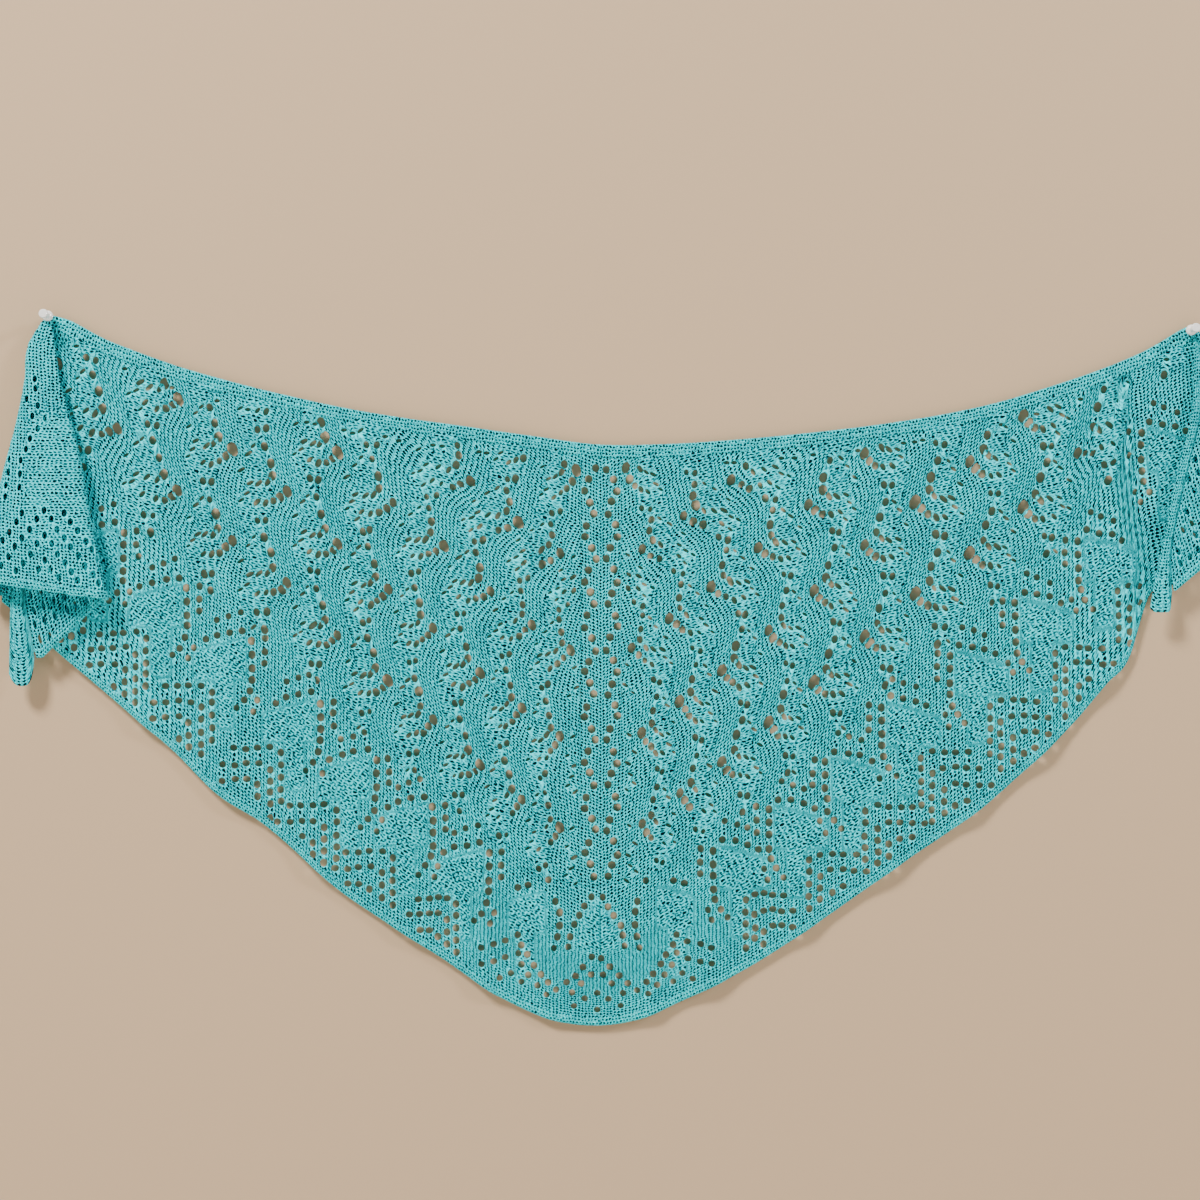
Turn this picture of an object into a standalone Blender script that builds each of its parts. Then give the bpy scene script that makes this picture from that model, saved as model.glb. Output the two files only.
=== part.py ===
"""Triangle shawl, hand knitted in turquoise yarn, hung flat on a wall by two
push pins.

Metres, +Z up. The origin is midway between the two pins, on the wall's face:
+X runs to the right along the wall, +Y into the wall, and the cloth lies in
front of the wall, at negative Y. The tables below are in millimetres.
"""
import math

import bmesh
import bpy
import numpy as np
from mathutils import Vector

for old in list(bpy.data.objects):
    bpy.data.objects.remove(old, do_unlink=True)

# ---------------------------------------------------------------- dimensions
MM = 0.001

CLOTH_T = 1.6            # knitted lace, wall thickness
BAND_T = 2.2             # garter band, two ridges thick
EDGE_T = 2.0             # bound-off hem edge
SEAM = 0.3               # gap between neighbouring sections
HALF = SEAM / 2

BAND_W = 14.0            # garter band, measured down the cloth
BORDER_H = 146.0         # leaf and mesh border, measured straight up from the hem
EDGE_H = 10.0            # bound-off edge, measured straight up
SPINE_X = -20.0          # middle of the eyelet spine
SPINE_HALF = 21.0        # half its width

PIN_L = (-598.5, 8.4)    # x, z of the left needle
PIN_R = (597.5, -6.3)    # x, z of the right needle
SIDE_L0 = -602.3         # the cloth's outermost column at the left pin
SIDE_R0 = 604.8          # and at the right pin
FAN = 150.0              # columns this close to a pin fan outwards below it
FLAT_SIDE = 22.0         # the cloth lies flat this far in from its side folds
Y_BACK = -4.0            # the cloth's middle surface beside the wall

# Top edge, from the left pin to the right pin: it sags like a chain.
TOP_EDGE = (  # x, z
    (-605.0, 12.0), (-589.0, 8.5), (-525.0, -18.9), (-467.3, -42.0),
    (-413.7, -57.8), (-352.8, -73.0), (-293.0, -86.1), (-232.0, -96.6),
    (-178.5, -104.0), (-97.7, -115.5), (-17.9, -125.5), (42.0, -125.0),
    (136.5, -119.0), (184.8, -114.5), (284.6, -102.5), (345.5, -92.5),
    (399.0, -80.5), (441.0, -68.0), (489.3, -51.5), (537.6, -30.5),
    (585.9, -6.3), (604.0, 2.0),
)

# Hem, from the left fold round the blunt point to the right fold.
HEM = (  # x, z
    (-664.0, -279.0), (-636.3, -301.4), (-588.0, -345.5), (-528.2, -396.9),
    (-467.3, -449.4), (-427.4, -489.3), (-374.9, -524.0), (-330.8, -561.8),
    (-296.1, -593.0), (-249.9, -624.8), (-191.1, -662.6), (-123.9, -707.0),
    (-75.6, -728.7), (-28.4, -736.0), (22.0, -728.7), (60.9, -711.9),
    (136.5, -674.0), (222.0, -618.0), (301.4, -561.8), (342.3, -534.5),
    (390.6, -499.0), (417.9, -474.5), (454.7, -440.0), (482.0, -412.0),
    (510.3, -377.0), (538.7, -340.0), (547.0, -311.0), (554.0, -289.5),
    (578.6, -273.0), (609.0, -250.0), (664.0, -226.0),
)

# Soft drape folds of the main cloth, unevenly spaced. Each runs from the top
# edge to the hem and stands out most at the hem.
DRAPE = (  # x at the top, x at the hem, half width, height
    (-548.0, -592.0, 20.0, 3.4), (-478.0, -500.0, 15.0, 4.2),
    (-402.0, -408.0, 22.0, 3.0), (-322.0, -318.0, 16.0, 4.6),
    (-236.0, -224.0, 20.0, 3.2), (-158.0, -140.0, 15.0, 4.4),
    (-84.0, -72.0, 13.0, 2.4), (44.0, 34.0, 14.0, 2.8),
    (118.0, 98.0, 18.0, 4.6), (212.0, 196.0, 15.0, 3.4),
    (296.0, 284.0, 20.0, 4.4), (382.0, 372.0, 15.0, 3.2),
    (448.0, 446.0, 18.0, 4.6), (522.0, 512.0, 13.0, 4.0),
)

# Left tail: the cloth past the left pin hangs straight down from it, folded
# forwards round its outer fold and back behind itself round its inner fold.
LEFT_TAIL = (  # z, outer fold x, inner fold x, band left x, band right x, middle y, front y
    (5.0, -605.0, -595.5, -601.6, -599.4, -6.7, -9.4),
    (-21.0, -619.5, -592.2, -609.5, -600.5, -8.4, -12.8),
    (-57.8, -622.7, -585.9, -613.0, -600.0, -9.8, -17.0),
    (-99.8, -630.0, -574.0, -617.5, -603.5, -11.4, -21.5),
    (-152.0, -642.6, -561.0, -624.0, -610.0, -13.4, -26.5),
    (-205.0, -654.0, -551.3, -630.0, -616.0, -15.2, -31.0),
    (-281.0, -664.0, -534.0, -636.0, -621.0, -17.0, -35.0),
    (-350.0, -672.0, -519.0, -637.5, -611.0, -17.6, -37.0),
    (-379.0, -676.0, -512.0, -638.0, -608.5, -17.0, -38.0),
)

# Right tail: folded forwards once round its outer fold.
RIGHT_TAIL = (  # z, outer fold x, band left x, band right x, front y
    (-5.0, 606.6, 599.2, 601.4, -7.6),
    (-31.0, 618.5, 601.5, 608.5, -9.6),
    (-68.0, 622.0, 600.0, 608.6, -11.4),
    (-94.5, 626.5, 597.5, 606.9, -12.6),
    (-142.8, 637.0, 585.9, 595.4, -14.4),
    (-191.1, 649.5, 574.4, 583.8, -16.2),
    (-238.4, 663.0, 563.9, 575.4, -17.8),
    (-286.7, 672.0, 553.5, 576.5, -19.0),
    (-301.4, 675.0, 551.0, 578.6, -19.2),
)

# Where the tails' hems lie, along the cloth from the outer fold to the tip.
# The turn starts where the main cloth's hem ends, so its height is worked out.
LEFT_TAIL_HEM = dict(front=-271.5, fold=-287.0, back=-289.5, band=-349.0)
RIGHT_TAIL_HEM = dict(front=-228.5, mid=-254.0, band=-279.0)
# The rounded tips of the hanging bands: share of the width, height.
LEFT_TIP = ((0.0, -349.0), (0.17, -369.5), (0.33, -377.0), (0.5, -378.5), (0.67, -378.0),
            (0.83, -374.5), (1.0, -366.0))
RIGHT_TIP = ((0.0, -279.0), (0.2, -299.0), (0.4, -301.4), (0.6, -301.6), (0.8, -301.0), (1.0, -297.5))

# Push pins, turned about the Y axis: distance out from the wall and radius.
PIN_HEAD = (  # y, radius
    (-12.4, 0.9), (-12.4, 5.4), (-14.0, 5.6), (-15.4, 5.0), (-17.0, 3.1),
    (-23.0, 2.7), (-26.0, 3.9), (-28.2, 4.9), (-29.6, 4.6), (-30.2, 3.9),
)
NEEDLE_R = 0.6
NEEDLE_Y = (-24.0, 7.0)  # inside the head to its tip inside the wall
NEEDLE_CLEAR = 0.35
HEAD_SIDES = 28
NEEDLE_SIDES = 12

COLUMNS = 27             # columns across each body half, and 2 more for half the spine
BAND_ROWS = 2
BODY_ROWS = 8
BORDER_ROWS = 6

# ---------------------------------------------------------------- materials


def material(name, colour, rough, metal=0.0, sheen=0.0):
    mat = bpy.data.materials.new(name)
    mat.use_nodes = True
    bsdf = mat.node_tree.nodes["Principled BSDF"]
    bsdf.inputs["Base Color"].default_value = (*colour, 1.0)
    bsdf.inputs["Roughness"].default_value = rough
    bsdf.inputs["Metallic"].default_value = metal
    bsdf.inputs["Sheen Weight"].default_value = sheen
    mat.diffuse_color = (*colour, 1.0)
    return mat


YARN = material("turquoise_yarn", (0.035, 0.53, 0.54), 0.85, sheen=0.3)
YARN_BAND = material("turquoise_garter", (0.030, 0.49, 0.51), 0.88, sheen=0.3)
YARN_EDGE = material("turquoise_bind_off", (0.045, 0.58, 0.58), 0.84, sheen=0.3)
WHITE = material("white_plastic", (0.84, 0.84, 0.82), 0.32)
STEEL = material("needle_steel", (0.62, 0.62, 0.63), 0.28, metal=1.0)

# ---------------------------------------------------------------- curves


def smooth_curve(rows, x_col=0, y_col=1):
    """A smooth function through a table's points, with natural slopes."""
    rows = sorted(rows, key=lambda r: r[x_col])
    xs = np.array([r[x_col] for r in rows], float)
    ys = np.array([r[y_col] for r in rows], float)
    step = np.diff(xs)
    rise = np.diff(ys) / step
    slope = np.empty_like(xs)
    slope[0], slope[-1] = rise[0], rise[-1]
    slope[1:-1] = (rise[:-1] * step[1:] + rise[1:] * step[:-1]) / (step[1:] + step[:-1])

    def value(x):
        x = min(max(x, xs[0]), xs[-1])
        k = int(min(max(np.searchsorted(xs, x) - 1, 0), len(step) - 1))
        h = step[k]
        t = (x - xs[k]) / h
        return float((2 * t**3 - 3 * t**2 + 1) * ys[k] + (t**3 - 2 * t**2 + t) * h * slope[k]
                     + (3 * t**2 - 2 * t**3) * ys[k + 1] + (t**3 - t**2) * h * slope[k + 1])
    return value


top_edge = smooth_curve(TOP_EDGE)
hem_edge = smooth_curve(HEM)
outer_l = smooth_curve(LEFT_TAIL, 0, 1)
inner_l = smooth_curve(LEFT_TAIL, 0, 2)
band_l_left = smooth_curve(LEFT_TAIL, 0, 3)
band_l_right = smooth_curve(LEFT_TAIL, 0, 4)
mid_l = smooth_curve(LEFT_TAIL, 0, 5)
front_l = smooth_curve(LEFT_TAIL, 0, 6)
outer_r = smooth_curve(RIGHT_TAIL, 0, 1)
band_r_left = smooth_curve(RIGHT_TAIL, 0, 2)
band_r_right = smooth_curve(RIGHT_TAIL, 0, 3)
front_r = smooth_curve(RIGHT_TAIL, 0, 4)


def smoothstep(t):
    t = min(max(t, 0.0), 1.0)
    return t * t * (3 - 2 * t)


def side_l(z):
    """Where the main cloth ends and the left outer fold starts to turn."""
    return outer_l(z) + (Y_BACK - front_l(z)) / 2


def side_r(z):
    return outer_r(z) - (Y_BACK - front_r(z)) / 2

# ---------------------------------------------------------------- main cloth


def main_x(column, z):
    """Columns run straight down, and fan outwards beside the pins."""
    if column < SIDE_L0 + FAN:
        share = smoothstep((SIDE_L0 + FAN - column) / FAN)
        return column + share * (side_l(z) - SIDE_L0)
    if column > SIDE_R0 - FAN:
        share = smoothstep((column - SIDE_R0 + FAN) / FAN)
        return column + share * (side_r(z) - SIDE_R0)
    return column


def main_hem(column):
    """The height at which a column meets the hem."""
    low, high = -760.0, -150.0
    for _ in range(40):
        mid = (low + high) / 2
        if mid > hem_edge(main_x(column, mid)):
            high = mid
        else:
            low = mid
    return (low + high) / 2


def main_y(x, z, column):
    top, hem = top_edge(column), main_hem_cache(column)
    down = min(max((top - z) / max(top - hem, 1.0), 0.0), 1.0)
    out = 0.0
    for x_top, x_hem, half, height in DRAPE:
        centre = x_top + (x_hem - x_top) * down
        out += height * (0.12 + 0.88 * down) * math.exp(-((x - centre) / half) ** 2)
    from_side = min(x - side_l(z), side_r(z) - x)
    return Y_BACK - out * smoothstep((from_side - FLAT_SIDE) / FLAT_SIDE)


_hems = {}


def main_hem_cache(column):
    key = round(column, 3)
    if key not in _hems:
        _hems[key] = main_hem(column)
    return _hems[key]


def main_point(column, z):
    x = main_x(column, z)
    return (x, main_y(x, z, column), z)


def band_drop(column):
    """The band's depth straight down, for its width across the slope."""
    slope = (top_edge(column + 2) - top_edge(column - 2)) / 4
    return BAND_W * math.sqrt(1 + slope * slope)


LEVELS = {  # the lines that part the sections, as heights on a column
    "top": lambda c: top_edge(c),
    "band": lambda c: top_edge(c) - band_drop(c),
    "border": lambda c: main_hem_cache(c) + BORDER_H,
    "edge": lambda c: main_hem_cache(c) + EDGE_H,
    "hem": lambda c: main_hem_cache(c),
}


def spread(x0, x1, cells):
    return [x0 + (x1 - x0) * i / cells for i in range(cells + 1)]


def main_grid(columns, upper, lower, rows):
    """Points of one section: its columns between two level lines. The first
    and last column step back by half a seam."""
    gap_up = 0.0 if upper == "top" else HALF
    gap_low = 0.0 if lower == "hem" else HALF
    columns = [columns[0] + HALF, *columns[1:-1], columns[-1] - HALF]
    grid = []
    for c in columns:
        z0, z1 = LEVELS[upper](c) - gap_up, LEVELS[lower](c) + gap_low
        grid.append([main_point(c, z0 + (z1 - z0) * j / rows) for j in range(rows + 1)])
    return np.array(grid)



def side_levels(column):
    """Heights of the rows beside a tail, from half way down the band to the
    hem edge, so that tail and main cloth meet point by point."""
    top, band, border, edge = (LEVELS[n](column) for n in ("top", "band", "border", "edge"))
    rows = [top + (band - top) * j / BAND_ROWS for j in range(BAND_ROWS // 2, BAND_ROWS)]
    rows += [band + (border - band) * j / BODY_ROWS for j in range(BODY_ROWS)]
    rows += [border + (edge - border) * j / BORDER_ROWS for j in range(BORDER_ROWS + 1)]
    return np.array(rows)

# ---------------------------------------------------------------- tails


def turn(edge_x, y_from, y_to, theta, side):
    """A point of a round fold: side -1 bulges to the left, +1 to the right."""
    radius = abs(y_from - y_to) / 2
    centre = edge_x - side * radius
    x = centre + side * radius * math.sin(theta)
    return x, y_from + (y_to - y_from) * (1 - math.cos(theta)) / 2


def left_tail_point(stage, f, z):
    """stage: outer turn, front layer, inner turn, inner layer, band."""
    xo, xi, yf, ym = outer_l(z), inner_l(z), front_l(z), mid_l(z)
    r_out, r_in = (Y_BACK - yf) / 2, (ym - yf) / 2
    if stage == "outer":
        first = HALF / r_out
        x, y = turn(xo, Y_BACK, yf, first + (math.pi - first) * f, -1)
    elif stage == "front":
        x = (xo + r_out) + ((xi - r_in) - (xo + r_out)) * f
        wide = xi - xo
        y = yf - 0.035 * wide * math.sin(math.pi * f) - 0.012 * wide * math.sin(3 * math.pi * f)
    elif stage == "inner":
        x, y = turn(xi, yf, ym, (math.pi - HALF / r_in) * f, +1)
    elif stage == "back":
        x0, x1 = xi - r_in - HALF, band_l_right(z) + HALF
        x = x0 + (x1 - x0) * f
        y = ym + 0.014 * (xi - xo) * math.sin(2 * math.pi * f) * math.sin(math.pi * f)
    else:
        x0, x1 = band_l_right(z) - HALF, band_l_left(z)
        x = x0 + (x1 - x0) * f
        y = ym
    return (x, y, z)


def left_tail_hem(stage, f):
    if stage == "band":
        return float(np.interp(f, *zip(*LEFT_TIP)))
    h = LEFT_TAIL_HEM
    ends = {"outer": (main_hem_cache(SIDE_L0), h["front"]), "front": (h["front"], h["fold"]),
            "inner": (h["fold"], h["back"]), "back": (h["back"], h["band"])}[stage]
    share = smoothstep(f) if stage == "outer" else f
    return ends[0] + (ends[1] - ends[0]) * share


def right_tail_point(stage, f, z):
    """stage: outer turn, front layer, band."""
    xo, yf = outer_r(z), front_r(z)
    radius = (Y_BACK - yf) / 2
    if stage == "outer":
        first = HALF / radius
        x, y = turn(xo, Y_BACK, yf, first + (math.pi - first) * f, +1)
    elif stage == "front":
        x0, x1 = xo - radius, band_r_right(z) + HALF
        x = x0 + (x1 - x0) * f
        y = yf - 0.02 * (x0 - x1) * math.sin(math.pi * f) ** 2
    else:
        x0, x1 = band_r_right(z) - HALF, band_r_left(z)
        x = x0 + (x1 - x0) * f
        y = yf - 0.05 * (x0 - x1) * (1 - math.cos(math.pi * f))
    return (x, y, z)


def right_tail_hem(stage, f):
    h = RIGHT_TAIL_HEM
    if stage == "outer":
        turn_z = main_hem_cache(SIDE_R0)
        return turn_z + (h["front"] - turn_z) * f
    if stage == "front":
        return float(np.interp(f, (0, 0.6, 1), (h["front"], h["mid"], h["band"])))
    return float(np.interp(f, *zip(*RIGHT_TIP)))


def tail_grid(point, hem, levels, stages, part):
    """part 'panel' stops above the hem edge, 'edge' is the hem edge, 'all' both."""
    shares = (levels - levels[0]) / (levels[-1] - levels[0])
    if part == "edge":
        shares = np.array((0.0, 1.0))
    grid = []
    for n, (stage, cells) in enumerate(stages):
        for i in range(0 if n == 0 else 1, cells + 1):
            f = i / cells
            z_hem = hem(stage, f)
            z_edge = z_hem + EDGE_H
            z0, z1 = (z_edge - HALF, z_hem) if part == "edge" else (levels[0], z_edge + HALF)
            rows = [z0 + (z1 - z0) * share for share in shares]
            if part == "all":
                rows.append(z_hem)
            grid.append([point(stage, f, z) for z in rows])
    return np.array(grid)

# ---------------------------------------------------------------- solids


def add_object(name, verts, faces, mat):
    mesh = bpy.data.meshes.new(name)
    mesh.from_pydata([tuple(v) for v in verts], [], faces)
    work = bmesh.new()
    work.from_mesh(mesh)
    bmesh.ops.recalc_face_normals(work, faces=work.faces)
    bmesh.ops.triangulate(work, faces=[f for f in work.faces if len(f.verts) == 4],
                          quad_method="SHORT_EDGE")
    work.to_mesh(mesh)
    work.free()
    mesh.materials.append(mat)
    mesh.shade_smooth()
    mesh.set_sharp_from_angle(angle=math.radians(50))
    ob = bpy.data.objects.new(name, mesh)
    bpy.context.scene.collection.objects.link(ob)
    return ob


def wall(name, grid, thickness, mat):
    """A closed wall of even thickness on both sides of a grid of points."""
    grid = np.asarray(grid, float)
    ni, nj = grid.shape[:2]
    along = np.gradient(grid, axis=0, edge_order=2 if ni > 2 else 1)
    down = np.gradient(grid, axis=1, edge_order=2 if nj > 2 else 1)
    normal = np.cross(along, down)
    normal /= np.linalg.norm(normal, axis=2, keepdims=True)
    layers = [grid + normal * thickness / 2, grid - normal * thickness / 2]
    verts = np.concatenate([layer.reshape(-1, 3) for layer in layers]) * MM
    count = ni * nj

    def at(i, j, k):
        return k * count + i * nj + j

    faces = []
    for i in range(ni - 1):
        for j in range(nj - 1):
            faces.append((at(i, j, 0), at(i + 1, j, 0), at(i + 1, j + 1, 0), at(i, j + 1, 0)))
            faces.append((at(i, j + 1, 1), at(i + 1, j + 1, 1), at(i + 1, j, 1), at(i, j, 1)))
    for i in range(ni - 1):
        for j in (0, nj - 1):
            faces.append((at(i, j, 0), at(i, j, 1), at(i + 1, j, 1), at(i + 1, j, 0)))
    for j in range(nj - 1):
        for i in (0, ni - 1):
            faces.append((at(i, j, 0), at(i, j + 1, 0), at(i, j + 1, 1), at(i, j, 1)))
    return add_object(name, verts, faces, mat)


def turned(name, rows, centre, sides, mat):
    """A solid turned about the Y axis through a needle's place."""
    verts, faces, rings = [], [], []
    for y, radius in rows:
        ring = []
        for k in range(sides):
            a = 2 * math.pi * k / sides
            ring.append(len(verts))
            verts.append(((centre[0] + radius * math.cos(a)) * MM, y * MM,
                          (centre[1] + radius * math.sin(a)) * MM))
        rings.append(ring)
    for low, high in zip(rings, rings[1:]):
        for k in range(sides):
            n = (k + 1) % sides
            faces.append((low[k], low[n], high[n], high[k]))
    faces.append(tuple(rings[0]))
    faces.append(tuple(reversed(rings[-1])))
    return add_object(name, verts, faces, mat)


def cut(ob, cutter):
    cutter.hide_render = True
    cutter.display_type = "WIRE"
    mod = ob.modifiers.new("needle_hole", "BOOLEAN")
    mod.operation = "DIFFERENCE"
    mod.object = cutter
    mod.solver = "EXACT"


# ---------------------------------------------------------------- main cloth
body_l = spread(SIDE_L0, SPINE_X - SPINE_HALF, COLUMNS)
body_r = spread(SPINE_X + SPINE_HALF, SIDE_R0, COLUMNS)
spine_l = spread(SPINE_X - SPINE_HALF, SPINE_X, 2)
spine_r = spread(SPINE_X, SPINE_X + SPINE_HALF, 2)
left, right = body_l + spine_l[1:], spine_r[:-1] + body_r

band_left = wall("top_band_left", main_grid(left, "top", "band", BAND_ROWS), BAND_T, YARN_BAND)
band_right = wall("top_band_right", main_grid(right, "top", "band", BAND_ROWS), BAND_T, YARN_BAND)
wall("body_left", main_grid(body_l, "band", "border", BODY_ROWS), CLOTH_T, YARN)
wall("spine", main_grid(spine_l + spine_r[1:], "band", "border", 2 * BODY_ROWS), CLOTH_T, YARN)
wall("body_right", main_grid(body_r, "band", "border", BODY_ROWS), CLOTH_T, YARN)
wall("border_left", main_grid(left, "border", "edge", BORDER_ROWS), CLOTH_T, YARN)
wall("border_right", main_grid(right, "border", "edge", BORDER_ROWS), CLOTH_T, YARN)
wall("hem_edge_left", main_grid(left, "edge", "hem", 1), EDGE_T, YARN_EDGE)
wall("hem_edge_right", main_grid(right, "edge", "hem", 1), EDGE_T, YARN_EDGE)

# ---------------------------------------------------------------- left tail
left_args = (left_tail_point, left_tail_hem, side_levels(SIDE_L0))
front_stages = (("outer", 6), ("front", 7), ("inner", 6))
wall("tail_left_front", tail_grid(*left_args, front_stages, "panel"), CLOTH_T, YARN)
wall("tail_left_inner", tail_grid(*left_args, (("back", 6),), "panel"), CLOTH_T, YARN)
wall("tail_left_hem", tail_grid(*left_args, front_stages, "edge"), EDGE_T, YARN_EDGE)
wall("tail_left_hem_inner", tail_grid(*left_args, (("back", 6),), "edge"), EDGE_T, YARN_EDGE)
wall("tail_left_band", tail_grid(*left_args, (("band", 6),), "all"), BAND_T, YARN_BAND)

# ---------------------------------------------------------------- right tail
right_args = (right_tail_point, right_tail_hem, side_levels(SIDE_R0))
fold_stages = (("outer", 6), ("front", 6))
wall("tail_right_front", tail_grid(*right_args, fold_stages, "panel"), CLOTH_T, YARN)
wall("tail_right_hem", tail_grid(*right_args, fold_stages, "edge"), EDGE_T, YARN_EDGE)
wall("tail_right_band", tail_grid(*right_args, (("band", 5),), "all"), BAND_T, YARN_BAND)

# ---------------------------------------------------------------- push pins
for side, centre, band in (("left", PIN_L, band_left), ("right", PIN_R, band_right)):
    head = turned(f"pin_{side}_head", PIN_HEAD, centre, HEAD_SIDES, WHITE)
    socket = turned(f"pin_{side}_socket", ((-8.0, NEEDLE_R + NEEDLE_CLEAR),
                                           (NEEDLE_Y[0] - NEEDLE_CLEAR, NEEDLE_R + NEEDLE_CLEAR)),
                    centre, NEEDLE_SIDES, STEEL)
    cut(head, socket)
    turned(f"pin_{side}_needle", ((NEEDLE_Y[0], NEEDLE_R), (NEEDLE_Y[1] - 3.0, NEEDLE_R),
                                  (NEEDLE_Y[1], 0.12)), centre, NEEDLE_SIDES, STEEL)
    hole = turned(f"pin_{side}_hole", ((5.0, NEEDLE_R + NEEDLE_CLEAR),
                                       (-11.0, NEEDLE_R + NEEDLE_CLEAR)),
                  centre, NEEDLE_SIDES, YARN)
    cut(band, hole)
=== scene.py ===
import math

import bpy
import numpy as np
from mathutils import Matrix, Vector


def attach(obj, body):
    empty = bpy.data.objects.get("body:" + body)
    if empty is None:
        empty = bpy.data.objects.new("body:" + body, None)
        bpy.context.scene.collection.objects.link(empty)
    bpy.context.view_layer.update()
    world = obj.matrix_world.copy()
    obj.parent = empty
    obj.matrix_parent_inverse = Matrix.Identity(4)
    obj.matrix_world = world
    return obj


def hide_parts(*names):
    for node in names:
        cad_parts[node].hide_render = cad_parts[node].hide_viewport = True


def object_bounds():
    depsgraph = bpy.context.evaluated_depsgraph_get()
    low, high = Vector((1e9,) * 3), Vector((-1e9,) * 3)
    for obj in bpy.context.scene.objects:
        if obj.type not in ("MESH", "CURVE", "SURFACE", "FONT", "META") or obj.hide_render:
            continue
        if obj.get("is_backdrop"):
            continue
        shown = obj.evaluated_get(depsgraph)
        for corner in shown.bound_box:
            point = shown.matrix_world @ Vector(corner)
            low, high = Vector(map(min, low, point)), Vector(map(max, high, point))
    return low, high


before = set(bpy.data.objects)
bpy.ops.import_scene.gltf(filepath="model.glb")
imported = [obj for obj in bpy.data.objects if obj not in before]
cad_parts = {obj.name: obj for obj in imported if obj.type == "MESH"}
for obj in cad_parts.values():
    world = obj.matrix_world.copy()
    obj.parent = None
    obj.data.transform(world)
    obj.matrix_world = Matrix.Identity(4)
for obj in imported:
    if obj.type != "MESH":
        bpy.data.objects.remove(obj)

CAD_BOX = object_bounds()
MM = 0.001

# ------------------------------------------------------------------ sizes, mm
CELL_X = 1.9             # lattice cell across: half a wale
CELL_Z = 2.0             # and down
WALE = 3.8               # one stitch across
ROW = 3.05               # one row of knitting
CLOTH_T = 1.25           # the yarn's own thickness between the relief's faces
SIDE_L0, SIDE_R0 = -602.3, 604.8
FAN, FLAT_SIDE = 150.0, 22.0
Y_BACK = -4.0
BAND_W, BORDER_H, EDGE_H = 14.0, 146.0, 10.0
SPINE_X, SPINE_HALF = -20.0, 21.0

TOP_EDGE = (  # x, z
    (-605.0, 12.0), (-589.0, 8.5), (-525.0, -18.9), (-467.3, -42.0),
    (-413.7, -57.8), (-352.8, -73.0), (-293.0, -86.1), (-232.0, -96.6),
    (-178.5, -104.0), (-97.7, -115.5), (-17.9, -125.5), (42.0, -125.0),
    (136.5, -119.0), (184.8, -114.5), (284.6, -102.5), (345.5, -92.5),
    (399.0, -80.5), (441.0, -68.0), (489.3, -51.5), (537.6, -30.5),
    (585.9, -6.3), (604.0, 2.0),
)
HEM = (  # x, z
    (-664.0, -279.0), (-636.3, -301.4), (-588.0, -345.5), (-528.2, -396.9),
    (-467.3, -449.4), (-427.4, -489.3), (-374.9, -524.0), (-330.8, -561.8),
    (-296.1, -593.0), (-249.9, -624.8), (-191.1, -662.6), (-123.9, -707.0),
    (-75.6, -728.7), (-28.4, -736.0), (22.0, -728.7), (60.9, -711.9),
    (136.5, -674.0), (222.0, -618.0), (301.4, -561.8), (342.3, -534.5),
    (390.6, -499.0), (417.9, -474.5), (454.7, -440.0), (482.0, -412.0),
    (510.3, -377.0), (538.7, -340.0), (547.0, -311.0), (554.0, -289.5),
    (578.6, -273.0), (609.0, -250.0), (664.0, -226.0),
)
DRAPE = (  # x at the top, x at the hem, half width, height
    (-548.0, -592.0, 20.0, 3.4), (-478.0, -500.0, 15.0, 4.2),
    (-402.0, -408.0, 22.0, 3.0), (-322.0, -318.0, 16.0, 4.6),
    (-236.0, -224.0, 20.0, 3.2), (-158.0, -140.0, 15.0, 4.4),
    (-84.0, -72.0, 13.0, 2.4), (44.0, 34.0, 14.0, 2.8),
    (118.0, 98.0, 18.0, 4.6), (212.0, 196.0, 15.0, 3.4),
    (296.0, 284.0, 20.0, 4.4), (382.0, 372.0, 15.0, 3.2),
    (448.0, 446.0, 18.0, 4.6), (522.0, 512.0, 13.0, 4.0),
)
LEFT_TAIL = (  # z, outer fold x, inner fold x, band left x, band right x, middle y, front y
    (5.0, -605.0, -595.5, -601.6, -599.4, -6.7, -9.4),
    (-21.0, -619.5, -592.2, -609.5, -600.5, -8.4, -12.8),
    (-57.8, -622.7, -585.9, -613.0, -600.0, -9.8, -17.0),
    (-99.8, -630.0, -574.0, -617.5, -603.5, -11.4, -21.5),
    (-152.0, -642.6, -561.0, -624.0, -610.0, -13.4, -26.5),
    (-205.0, -654.0, -551.3, -630.0, -616.0, -15.2, -31.0),
    (-281.0, -664.0, -534.0, -636.0, -621.0, -17.0, -35.0),
    (-350.0, -672.0, -519.0, -637.5, -611.0, -17.6, -37.0),
    (-379.0, -676.0, -512.0, -638.0, -608.5, -17.0, -38.0),
)
RIGHT_TAIL = (  # z, outer fold x, band left x, band right x, front y
    (-5.0, 606.6, 599.2, 601.4, -7.6),
    (-31.0, 618.5, 601.5, 608.5, -9.6),
    (-68.0, 622.0, 600.0, 608.6, -11.4),
    (-94.5, 626.5, 597.5, 606.9, -12.6),
    (-142.8, 637.0, 585.9, 595.4, -14.4),
    (-191.1, 649.5, 574.4, 583.8, -16.2),
    (-238.4, 663.0, 563.9, 575.4, -17.8),
    (-286.7, 672.0, 553.5, 576.5, -19.0),
    (-301.4, 675.0, 551.0, 578.6, -19.2),
)
PIN_L, PIN_R = (-598.5, 8.4), (597.5, -6.3)

rng = np.random.default_rng(7)

# ------------------------------------------------------------------ curves


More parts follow.
